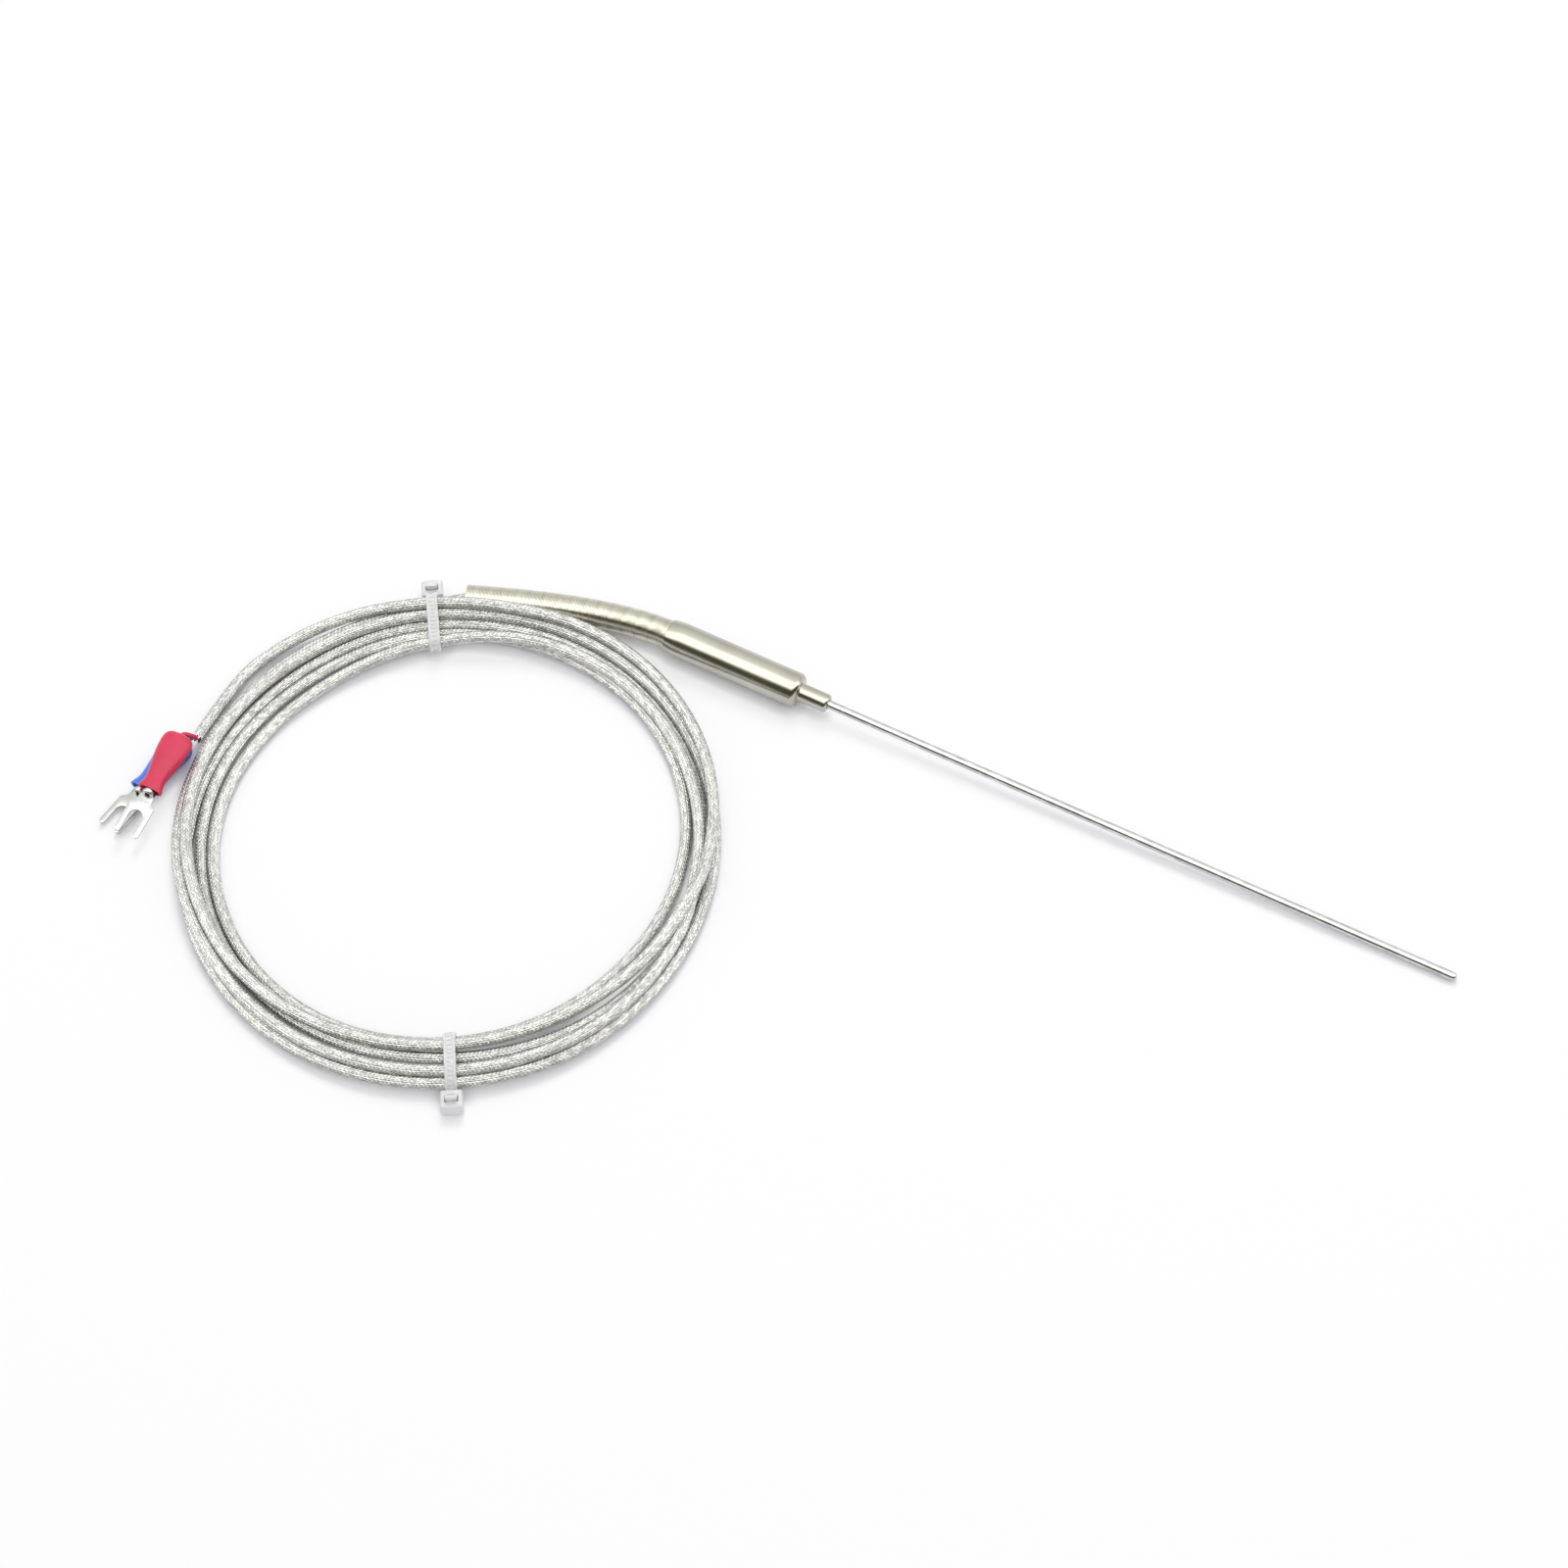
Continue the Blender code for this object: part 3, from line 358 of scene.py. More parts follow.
# the probe: the same sizes as in the part
probe = {
    "sheathRadius": 0.0010,
    "freeLength": 0.150,
    "heldLength": 0.0115,
    "sheathWall": 0.00025,
    "sleeveLength": 0.033,
    "sleeveRadius": 0.0040,
    "shoulderChamfer": 0.0008,
    "rearTaper": (0.0026, 0.00362),        # its length and the radius that it ends at
    "neckLength": 0.007,
    "neckRadius": 0.0021,
    "boreRadius": 0.00115,
    "seatRadius": 0.00345,
    "seatDepth": 0.0085,
    "chamberRadius": 0.00255,
    "chamberFront": 0.0305,
}
neckEnd = probe["sleeveLength"] + probe["neckLength"]
overall = neckEnd + probe["freeLength"]
spanToTip = overall - probe["sheathRadius"] - (probe["sleeveLength"] - probe["shoulderChamfer"])
tilt = acos(probe["sheathRadius"] / hypot(probe["sleeveRadius"], spanToTip)) - atan2(
    spanToTip, probe["sleeveRadius"])
rearPoint = Vector((-overall / 2, 0.0, probe["sheathRadius"] + (overall - probe["sheathRadius"]) * sin(tilt)))
probePlace = Matrix.Translation(rearPoint) @ Matrix.Rotation(tilt, 4, "Y")
axisBack = Vector((-cos(tilt), 0.0, sin(tilt)))


def fromRear(x, y, z):
    return Vector((-overall / 2 + x, y, z))


def makeSleeve():
    p = probe
    taper, rearRadius = p["rearTaper"]
    corners = [
        (0.0, p["seatRadius"], 0.00005),
        (0.0, rearRadius, 0.00008),
        (taper, p["sleeveRadius"], 0.0012),
        (p["sleeveLength"] - p["shoulderChamfer"], p["sleeveRadius"], 0.0005),
        (p["sleeveLength"], p["sleeveRadius"] - p["shoulderChamfer"], 0.0004),
        (p["sleeveLength"], p["neckRadius"], 0.00025),
        (neckEnd - 0.0004, p["neckRadius"], 0.00025),
        (neckEnd, p["neckRadius"] - 0.0004, 0.0002),
        (neckEnd, p["boreRadius"], 0.00006),
        (p["chamberFront"], p["boreRadius"], 0.0),
        (p["chamberFront"], p["chamberRadius"], 0.0),
        (p["seatDepth"], p["chamberRadius"], 0.0),
        (p["seatDepth"], p["seatRadius"], 0.0),
    ]
    return lathe("sleeveTurned", rounded(corners), mats["turnedSteel"], probePlace)


def makeSheath():
    p = probe
    radius, bore = p["sheathRadius"], p["sheathRadius"] - p["sheathWall"]
    weld = overall - radius
    start = neckEnd - p["heldLength"]
    steps = 9
    cap = [(weld + radius * sin(pi / 2 * k / steps), max(1e-6, radius * cos(pi / 2 * k / steps)))
           for k in range(1, steps + 1)]
    cup = [(weld + bore * sin(pi / 2 * k / steps), max(1e-6, bore * cos(pi / 2 * k / steps)))
           for k in range(steps, 0, -1)]
    length = weld - start
    outside = [(start + length * k / 40, radius) for k in range(41)]
    profile = [(start, bore), *outside, *cap, *cup, (weld, bore)]
    return lathe("sheathDrawn", [Vector(point) for point in profile], mats["drawnSteel"], probePlace, 48)


sleevePiece = makeSleeve()
sheathPiece = makeSheath()
print("sleeve and sheath turned")

# the lead's way: out of the spring, five turns, then the loose end
spring = {
    "radius": 0.0033,
    "end": (-0.0462, -0.0113, 0.0034),     # from the sleeve's rear face
    "heading": 202.0,
    "handles": (0.010, 0.022),
    "wire": 0.00031,
    "pitch": 0.000315,
    "pointsPerTurn": 20,
    "wireSides": 6,
    "slip": 0.0003,
}
lead = {
    "diameter": 0.0027,
    "coilCentre": (-0.0209, -0.0661),      # from the sleeve's rear face
    "stations": 90,                        # for each turn
    "firstAngle": 115.0,
    "lift": 0.0013,                        # the ties' straps hold the turns up by this
    "tieAngles": {"cable_tie_top": 122.0, "cable_tie_bottom": 300.0},
    "liftSpread": 46.0,
    "wander": 0.00018,
    "landing": 134.0,                      # the lead has come down from the spring here
    "freeEnd": 160.0,                      # from here on the loose end lies as its table says
    "rounds": 260,
    "pull": (0.20, 0.08, 0.6),             # towards the course, at first and last, and when it eases
    "heightPull": 0.35,                    # share of the pull that heights get
    "sag": 0.000006,
    "smoothing": 0.2,
    "squeeze": 0.985,                      # of a diameter, where turns press on each other
    "seed": 11,
    # angle round the coil, distance from its middle in mm, height in rows of turns
    "run": ((115, 60.36, 0.33), (121, 59.0, 0.1), (128, 58.0, 0.0)),
    "turns": (
        ((136, 57.6, 0.0), (150, 58.2, 0.0), (165, 58.7, 0.0), (180, 58.9, 0.1), (195, 58.7, 0.3),
         (206, 58.3, 0.6), (230, 57.4, 0.9), (270, 57.3, 0.8), (296, 57.1, 0.6), (320, 57.7, 0.8),
         (340, 57.9, 0.9), (360, 57.2, 1.0), (386, 55.6, 1.0), (405, 54.7, 1.0), (422, 54.1, 1.0),
         (447, 52.7, 1.0), (460, 51.3, 0.9), (470, 50.2, 0.7), (482, 49.0, 0.3)),
        ((136, 48.5, 0.0), (150, 47.8, 0.0), (165, 48.6, 0.0), (180, 49.7, 0.0), (192, 50.6, 0.0),
         (206, 51.2, 0.0), (230, 51.2, 0.0), (255, 50.9, 0.0), (270, 50.7, 0.0), (296, 50.5, 0.0),
         (320, 50.1, 0.0), (340, 49.9, 0.0), (360, 50.9, 0.0), (370, 51.4, 0.0), (386, 52.3, 0.0),
         (405, 53.0, 0.0), (422, 53.1, 0.0), (447, 52.0, 0.0), (460, 51.5, 0.0), (470, 51.0, 0.0),
         (482, 51.0, 0.0)),
        ((136, 51.2, 0.0), (150, 51.2, 0.0), (165, 51.6, 0.0), (180, 53.0, 0.0), (206, 54.0, 0.0),
         (230, 54.2, 0.0), (270, 53.8, 0.0), (296, 53.6, 0.0), (320, 54.6, 0.0), (340, 55.4, 0.0),
         (360, 56.3, 0.0), (386, 56.5, 0.0), (422, 56.5, 0.0), (447, 55.8, 0.0), (460, 54.6, 0.0),
         (470, 53.9, 0.0)),
        ((136, 54.0, 0.0), (150, 54.0, 0.0), (165, 54.4, 0.0), (180, 55.7, 0.0), (192, 56.6, 0.0),
         (206, 57.6, 0.0), (230, 58.6, 0.0), (270, 59.2, 0.0), (296, 59.4, 0.0), (340, 59.4, 0.0),
         (360, 59.1, 0.0), (386, 58.5, 0.2), (422, 57.9, 0.6), (447, 57.2, 0.9), (460, 56.1, 1.0),
         (470, 55.4, 0.9), (482, 55.5, 0.9)),
        ((136, 55.9, 1.0), (150, 56.1, 1.0), (165, 57.0, 1.1), (180, 57.6, 1.2), (195, 57.8, 1.4),
         (210, 57.2, 1.6), (220, 56.4, 1.6), (233, 55.5, 1.4), (240, 54.8, 1.3), (250, 54.0, 1.1),
         (265, 52.7, 1.0), (275, 52.0, 1.0), (296, 51.5, 1.0), (310, 51.4, 1.0), (320, 51.6, 1.0),
         (330, 52.0, 1.0), (338, 52.7, 1.0), (345, 53.5, 1.0), (355, 54.6, 1.0), (363, 55.6, 1.1),
         (370, 56.4, 1.2), (380, 57.5, 1.3), (390, 58.6, 1.1), (405, 59.5, 0.8), (422, 59.6, 0.5),
         (435, 59.5, 0.6), (450, 58.8, 1.2), (460, 57.6, 1.7), (470, 56.7, 2.0), (482, 56.7, 2.0),
         (488, 57.6, 1.7)),
    ),
    "tail": ((134, 59.0, 1.3), (141, 60.6, 0.7), (147, 61.65, 0.4), (154, 62.6, 0.15), (161, 63.1, 0.0),
             (167, 62.8, 0.05), (172, 62.15, 0.2), (177, 61.55, 0.45), (182, 61.55, 0.64), (183.4, 61.5, 0.66)),
}
leadRadius = lead["diameter"] / 2
rowHeight = lead["diameter"] * sqrt(3) / 2
coilMiddle = fromRear(*lead["coilCentre"], 0.0)


def polar(angle, radius, height):
    turn = radians(angle)
    return Vector((coilMiddle.x + radius * cos(turn), coilMiddle.y + radius * sin(turn), height))


def springAxis():
    seat = rearPoint - axisBack * (probe["seatDepth"] - spring["slip"])
    end = fromRear(*spring["end"])
    heading = Vector((cos(radians(spring["heading"])), sin(radians(spring["heading"])), 0.0))
    bend = geometry.interpolate_bezier(rearPoint, rearPoint + axisBack * spring["handles"][0],
                                       end - heading * spring["handles"][1], end, 60)
    return [seat.lerp(rearPoint, k / 10) for k in range(10)] + list(bend)


springLine = springAxis()


def springAt(angle):
    # distance and height of the spring's middle line where it passes an angle, or None beyond its end
    places = []
    for point in springLine:
        offset = point - coilMiddle
        places.append((degrees(atan2(offset.y, offset.x)), hypot(offset.x, offset.y), point.z))
    for (a0, r0, z0), (a1, r1, z1) in zip(places, places[1:]):
        if a0 <= angle <= a1 and a1 > a0:
            share = (angle - a0) / (a1 - a0)
            return r0 + (r1 - r0) * share, z0 + (z1 - z0) * share
    return None


def courseKnots():
    knots = list(lead["run"])
    for turn, places in enumerate((*lead["turns"], lead["tail"])):
        knots += [(angle + 360 * turn, radius, level) for angle, radius, level in places]
    return knots


def settleTurns():
    # the turns start on their course, then push each other apart, sag to the floor and smooth out
    knots = courseKnots()
    stations, smoothing = lead["stations"], lead["smoothing"]
    firstPull, lastPull, easeAt = lead["pull"]
    onCourse = lead["turns"][0][0][0]
    step = 360.0 / stations
    first, last = lead["firstAngle"], knots[-1][0]
    count = floor((last - first) / step) + 1
    rng = random.Random(lead["seed"])
    phases = [rng.uniform(0, 6.28) for _ in range(4)]
    springEnd = fromRear(*spring["end"])
    targets, pinned, floorAt, obstacles = [], [], [], []
    springPlaces = [springAt((first + k * step) % 360.0) for k in range(stations)]
    tailStart = 360.0 * len(lead["turns"]) + lead["freeEnd"]
    for i in range(count):
        angle = first + i * step
        around = angle % 360.0
        near = min(abs((around - tie + 180) % 360 - 180) for tie in lead["tieAngles"].values())
        lift = lead["lift"] * (1 - smoothStep(near, 4.0, lead["liftSpread"]))
        floorAt.append(lift + leadRadius)
        obstacles.append(springPlaces[i % stations] if i > stations // 2 else None)
        radius, height = easedRow(knots, angle)
        radius, height = radius * 0.001, height * rowHeight
        loose = smoothStep(near, 6.0, 40.0) * lead["wander"]
        radius += loose * (sin(radians(angle) * 2.3 + phases[0]) + 0.6 * sin(radians(angle) * 5.1 + phases[1]))
        height += loose * 0.4 * sin(radians(angle) * 3.3 + phases[2])
        if angle < onCourse:
            height = springEnd.z + (lift + leadRadius - springEnd.z) * smoothStep(angle, first, lead["landing"])
        elif angle > tailStart:
            height = leadRadius + height
        else:
            height = lift + leadRadius + height
        targets.append((radius, height))
        pinned.append(i < 2 or angle > tailStart)
    r = [target[0] for target in targets]
    z = [target[1] for target in targets]
    reachSpring = spring["radius"] + leadRadius
    apart = lead["diameter"] * lead["squeeze"]
    for lap in range(lead["rounds"]):
        pull = firstPull if lap < lead["rounds"] * easeAt else lastPull
        for i in range(count):
            if not pinned[i]:
                r[i] += (targets[i][0] - r[i]) * pull
                z[i] += (targets[i][1] - z[i]) * pull * lead["heightPull"] - lead["sag"]
        for again in range(2):
            for i in range(1, count - 1):
                if not pinned[i]:
                    r[i] += (r[i - 1] + r[i + 1] - 2 * r[i]) * smoothing
                    z[i] += (z[i - 1] + z[i + 1] - 2 * z[i]) * smoothing
        for again in range(3):
            for base in range(stations):
                for i in range(base, count, stations):
                    for j in range(i + stations, count, stations):
                        dr, dz = r[j] - r[i], z[j] - z[i]
                        gap = hypot(dr, dz)
                        if gap >= apart or gap < 1e-9:
                            continue
                        push = (apart - gap) / gap
                        shareI = 0.0 if pinned[i] else (1.0 if pinned[j] else 0.5)
                        shareJ = 0.0 if pinned[j] else 1.0 - shareI
                        r[i] -= dr * push * shareI
                        z[i] -= dz * push * shareI
                        r[j] += dr * push * shareJ
                        z[j] += dz * push * shareJ
            for i in range(count):
                if obstacles[i] and not pinned[i]:
                    dr, dz = r[i] - obstacles[i][0], z[i] - obstacles[i][1]
                    gap = hypot(dr, dz)
                    if gap < reachSpring:
                        r[i] += dr * (reachSpring - gap) / gap
                        z[i] += dz * (reachSpring - gap) / gap
                z[i] = max(z[i], floorAt[i])
    return [(first + i * step, r[i], z[i]) for i in range(count)]


settled = settleTurns()
turnPoints = [polar(*place) for place in settled]
insideSpring = evenPoints(springLine, lead["diameter"] * 1.6)
insideSpring[0] = rearPoint - axisBack * (probe["seatDepth"] - spring["slip"])
leadRoute = insideSpring[:-1] + turnPoints
leadLine = evenPoints(smoothLine(leadRoute, 6), 0.0028)

braid = {
    "coreRadius": 0.00116,
    "carriers": 8,             # for each hand
    "layLength": 0.0142,       # one carrier's way round the lead
    "ribbonWidth": 0.00070,
    "ribbonRise": 0.00019,
    "sink": 0.00006,           # how far a ribbon's edge goes into the core
    "stretches": 5,            # pieces that the braid is made in
    "seed": 5,
}


def ribbonPair(mat):
    # one float of each hand, side by side round the lead, along local Z
    vertices, faces, places = [], [], []
    rowsAlong, rowsAcross = 4, 3
    column = pi / (2 * braid["carriers"])
    halfLength = braid["layLength"] / (4 * braid["carriers"])
    slant = cos(atan2(pi * lead["diameter"], braid["layLength"]))
    for hand, centre in ((1, 0.0), (-1, 2 * column)):
        base = len(vertices)
        for i in range(rowsAlong + 1):
            s = -1 + 2 * i / rowsAlong
            dive = sqrt(max(0.0, 1 - s * s))
            for k in range(rowsAcross + 1):
                w = -1 + 2 * k / rowsAcross
                rise = braid["coreRadius"] - braid["sink"] + (braid["ribbonRise"] + braid["sink"]) * (
                    0.52 + 0.48 * dive) * (1 - 0.28 * w * w)
                angle = centre + hand * s * column * 1.08
                z = s * halfLength * 1.08 + w * braid["ribbonWidth"] * 0.5 / slant
                vertices.append(Vector((rise * cos(angle), rise * sin(angle), z)))
                places.append((0.5 + 0.5 * w, 0.5 + 0.5 * s))
        for i in range(rowsAlong):
            for k in range(rowsAcross):
                a = base + i * (rowsAcross + 1) + k
                quad = (a, a + 1, a + rowsAcross + 2, a + rowsAcross + 1)
                faces.append(quad if hand < 0 else tuple(reversed(quad)))
    return meshObject("ribbonPair", vertices, faces, mat, uvs=places)


def newTree(name, inputs):
    tree = bpy.data.node_groups.new(name, "GeometryNodeTree")
    tree.interface.new_socket("Geometry", in_out="INPUT", socket_type="NodeSocketGeometry")
    for label, kind in inputs:
        tree.interface.new_socket(label, in_out="INPUT", socket_type="NodeSocket" + kind)
    tree.interface.new_socket("Geometry", in_out="OUTPUT", socket_type="NodeSocketGeometry")
    return tree, tree.nodes.new("NodeGroupInput"), tree.nodes.new("NodeGroupOutput")


def closeTree(tree, start, end, last):
    # realise what is left as instances, then paint it
    real = addNode(tree, "GeometryNodeRealizeInstances", {0: last})
    paint = addNode(tree, "GeometryNodeSetMaterial", {
        "Geometry": real.outputs[0], "Material": start.outputs["Material"]})
    tree.links.new(paint.outputs[0], end.inputs["Geometry"])


def braidTree():
    tree, start, end = newTree("braidRibbons", (("Ribbon", "Object"), ("Crossing", "Float"), ("Around", "Int"),
                                                ("Seed", "Int"), ("Material", "Material")))
    given = start.outputs
    curve = addNode(tree, "GeometryNodeMeshToCurve", {"Mesh": given["Geometry"]})
    points = addNode(tree, "GeometryNodeCurveToPoints", {
        "Curve": curve.outputs["Curve"], "Length": given["Crossing"]}, mode="LENGTH")
    ring = addNode(tree, "GeometryNodeMeshCircle", {"Radius": 0.0, "Vertices": given["Around"]})
    ribbon = addNode(tree, "GeometryNodeObjectInfo", {"Object": given["Ribbon"]})
    index = addNode(tree, "GeometryNodeInputIndex").outputs[0]
    spin = addNode(tree, "ShaderNodeCombineXYZ", {
        "Z": mathNode(tree, "MULTIPLY", index, mathNode(tree, "DIVIDE", 2 * pi, given["Around"]))})
    collar = addNode(tree, "GeometryNodeInstanceOnPoints", {
        "Points": ring.outputs["Mesh"], "Instance": ribbon.outputs["Geometry"], "Rotation": spin.outputs[0]})
    solid = addNode(tree, "GeometryNodeRealizeInstances", {0: collar.outputs["Instances"]})
    lay = addNode(tree, "GeometryNodeInstanceOnPoints", {
        "Points": points.outputs["Points"], "Instance": solid.outputs[0],
        "Rotation": points.outputs["Rotation"]})
    real = addNode(tree, "GeometryNodeRealizeInstances", {0: lay.outputs["Instances"]})
    island = addNode(tree, "GeometryNodeInputMeshIsland")
    chance = addNode(tree, "FunctionNodeRandomValue", {
        "ID": island.outputs["Island Index"], "Seed": given["Seed"]}, data_type="FLOAT")
    store = addNode(tree, "GeometryNodeStoreNamedAttribute", {"Name": "wear", "Geometry": real.outputs[0]},
                    data_type="FLOAT", domain="FACE")
    wear, into = ([s for s in sockets if s.enabled and s.type == "VALUE"][0]
                  for sockets in (chance.outputs, store.inputs))
    tree.links.new(wear, into)
    closeTree(tree, start, end, store.outputs[0])
    return tree


def setInputs(modifier, values):
    sockets = {s.name: s.identifier for s in modifier.node_group.interface.items_tree if s.in_out == "INPUT"}
    for name, value in values.items():
        modifier[sockets[name]] = value


def lineObject(name, points):
    mesh = bpy.data.meshes.new(name)
    mesh.from_pydata([tuple(p) for p in points], [(i, i + 1) for i in range(len(points) - 1)], [])
    return addObject(name, mesh)


def alongLine(name, points, tree, values):
    line = lineObject(name, points)
    modifier = line.modifiers.new("nodes", "NODES")
    modifier.node_group = tree
    setInputs(modifier, values)
    return bakeModifiers(line)


def makeLead():
    curve = bpy.data.curves.new("lead", "CURVE")
    curve.dimensions = "3D"
    curve.bevel_depth = braid["coreRadius"]
    curve.bevel_resolution = 3
    curve.use_fill_caps = True
    spline = curve.splines.new("POLY")
    spline.points.add(len(leadLine) - 1)
    for point, place in zip(spline.points, leadLine):
        point.co = (*place, 1.0)
    curve.materials.append(mats["braidShadow"])
    core = addObject("lead", curve)
    mat = braidMaterial()
    pair = ribbonPair(mat)
    tree = braidTree()
    crossing = braid["layLength"] / (2 * braid["carriers"])
    visible = evenPoints(leadLine, crossing / 2)
    steps = len(visible) - 1
    ribbons = []
    for s in range(braid["stretches"]):
        a, b = steps * s // braid["stretches"], steps * (s + 1) // braid["stretches"]
        result = alongLine(f"braid_{s + 1}", visible[a:b + 1], tree, {
            "Ribbon": pair, "Crossing": crossing, "Around": braid["carriers"], "Seed": braid["seed"] + s,
            "Material": mat})
        result.data.shade_smooth()
        ribbons.append(result)
    bpy.data.objects.remove(pair, do_unlink=True)
    return core, ribbons


leadCore, leadRibbons = makeLead()
print("lead braided:", sum(len(piece.data.polygons) for piece in leadRibbons), "faces")


def springTree():
    tree, start, end = newTree("woundSpring", (("Radius", "Float"), ("Wire", "Float"), ("Step", "Float"),
                                               ("Points per Turn", "Int"), ("Material", "Material")))
    given = start.outputs
    curve = addNode(tree, "GeometryNodeMeshToCurve", {"Mesh": given["Geometry"]})
    even = addNode(tree, "GeometryNodeResampleCurve", {
        "Curve": curve.outputs["Curve"], "Length": given["Step"]}, mode="LENGTH")
    tangent, normal, index = (addNode(tree, "GeometryNodeInput" + kind).outputs[0]
                              for kind in ("Tangent", "Normal", "Index"))
    turn = mathNode(tree, "MULTIPLY", index, mathNode(tree, "DIVIDE", 2 * pi, given["Points per Turn"]))
    across = vectorNode(tree, "CROSS_PRODUCT", tangent, normal)
    outwards, sideways = (vectorNode(tree, "SCALE", side, scale=mathNode(
        tree, "MULTIPLY", mathNode(tree, wave, turn), given["Radius"]))
        for side, wave in ((normal, "COSINE"), (across, "SINE")))
    wind = addNode(tree, "GeometryNodeSetPosition", {
        "Geometry": even.outputs["Curve"], "Offset": vectorNode(tree, "ADD", outwards, sideways)})
    wire = addNode(tree, "GeometryNodeCurvePrimitiveCircle", {
        "Resolution": spring["wireSides"], "Radius": mathNode(tree, "MULTIPLY", given["Wire"], 0.5)})
    wound = addNode(tree, "GeometryNodeCurveToMesh", {
        "Curve": wind.outputs[0], "Profile Curve": wire.outputs["Curve"], "Fill Caps": True})
    closeTree(tree, start, end, wound.outputs[0])
    return tree


def makeSpring():
    step = spring["pitch"] / spring["pointsPerTurn"]
    line = evenPoints(springLine, 0.0006)
    result = alongLine("springWound", line[:-1] + [line[-1].lerp(line[-2], 0.4)], springTree(), {
        "Radius": spring["radius"] - spring["wire"] / 2, "Wire": spring["wire"], "Step": step,
        "Points per Turn": spring["pointsPerTurn"], "Material": mats["springSteel"]})
    return outward(result, 60.0)


springPiece = makeSpring()
print("spring wound:", len(springPiece.data.polygons), "faces")

tie = {
    "width": 0.0025,
    "thickness": 0.0010,
    "play": 0.0001,                        # between the turns and the strap
    "edge": 0.00018,
    "channel": (0.0007, 0.00016),          # half width and depth of the strap's groove
    "spacing": 0.00045,                    # between the strap's sections
    "toothPitch": 0.0009,
    "toothSize": (0.0011, 0.00042, 0.00016),
    "head": (0.0044, 0.0048, 0.0040),      # along the radius, round the coil, upwards
    "headBevel": 0.0006,
    "slot": (0.0014, 0.0029),
    "stub": 0.0016,
}


def turnsAt(angle):
    # (radius, height) of every turn that passes an angle
    places = []
    for (a0, r0, z0), (a1, r1, z1) in zip(settled, settled[1:]):
        if floor((a0 - angle) / 360.0) != floor((a1 - angle) / 360.0):
            share = ((angle - a0) % 360.0) / (a1 - a0)
            places.append((r0 + (r1 - r0) * share, z0 + (z1 - z0) * share))
    return places


def hullLoop(centres, reach, spacing):
    cloud = []
    for r, z in centres:
        cloud += [(r + reach * cos(2 * pi * k / 36), z + reach * sin(2 * pi * k / 36)) for k in range(36)]
    cloud.sort()

    def half(points):
        chain = []
        for p in points:
            while len(chain) > 1 and ((chain[-1][0] - chain[-2][0]) * (p[1] - chain[-2][1])
                                      - (chain[-1][1] - chain[-2][1]) * (p[0] - chain[-2][0])) <= 0:
                chain.pop()
            chain.append(p)
        return chain[:-1]

    loop = [Vector((x, z, 0.0)) for x, z in half(cloud) + half(cloud[::-1])]
    loop = evenPoints(loop + [loop[0]], spacing)[:-1]
    for again in range(3):
        count = len(loop)
        loop = [(loop[k - 1] + loop[k] * 2 + loop[(k + 1) % count]) / 4 for k in range(count)]
    return loop


def toothTree():
    tree, start, end = newTree("strapTeeth", (("Tooth", "Object"), ("Material", "Material")))
    tooth = addNode(tree, "GeometryNodeObjectInfo", {"Object": start.outputs["Tooth"]})
    turn = addNode(tree, "GeometryNodeInputNamedAttribute", {"Name": "turn"}, data_type="FLOAT_VECTOR")
    place = addNode(tree, "GeometryNodeInstanceOnPoints", {
        "Points": start.outputs["Geometry"], "Instance": tooth.outputs["Geometry"],
        "Rotation": [s for s in turn.outputs if s.enabled][0]})
    closeTree(tree, start, end, place.outputs["Instances"])
    return tree


teethTree = toothTree()


def toothObject():
    # a low wedge, across X, along Y and up Z
    x, y, z = (size / 2 for size in tie["toothSize"])
    corners = [(-x, -y, -z), (x, -y, -z), (x, y, -z), (-x, y, -z), (-x, y * 0.1, z), (x, y * 0.1, z),
               (-x * 0.9, y * 0.8, z), (x * 0.9, y * 0.8, z)]
    faces = [(0, 3, 2, 1), (0, 1, 5, 4), (4, 5, 7, 6), (6, 7, 2, 3), (0, 4, 6, 3), (1, 2, 7, 5)]
    return meshObject("tooth", [Vector(c) for c in corners], faces, mats["clearNylon"])


def block(name, size, middle, mat, bevel):
    bm = bmesh.new()
    bmesh.ops.create_cube(bm, size=1.0)
    bmesh.ops.scale(bm, vec=size, verts=bm.verts)
    bmesh.ops.translate(bm, vec=middle, verts=bm.verts)
    bmesh.ops.bevel(bm, geom=list(bm.edges), offset=bevel, segments=4, affect="EDGES", profile=0.5)
    mesh = bpy.data.meshes.new(name)
    bm.to_mesh(mesh)
    bm.free()
    mesh.materials.append(mat)
    return addObject(name, mesh)


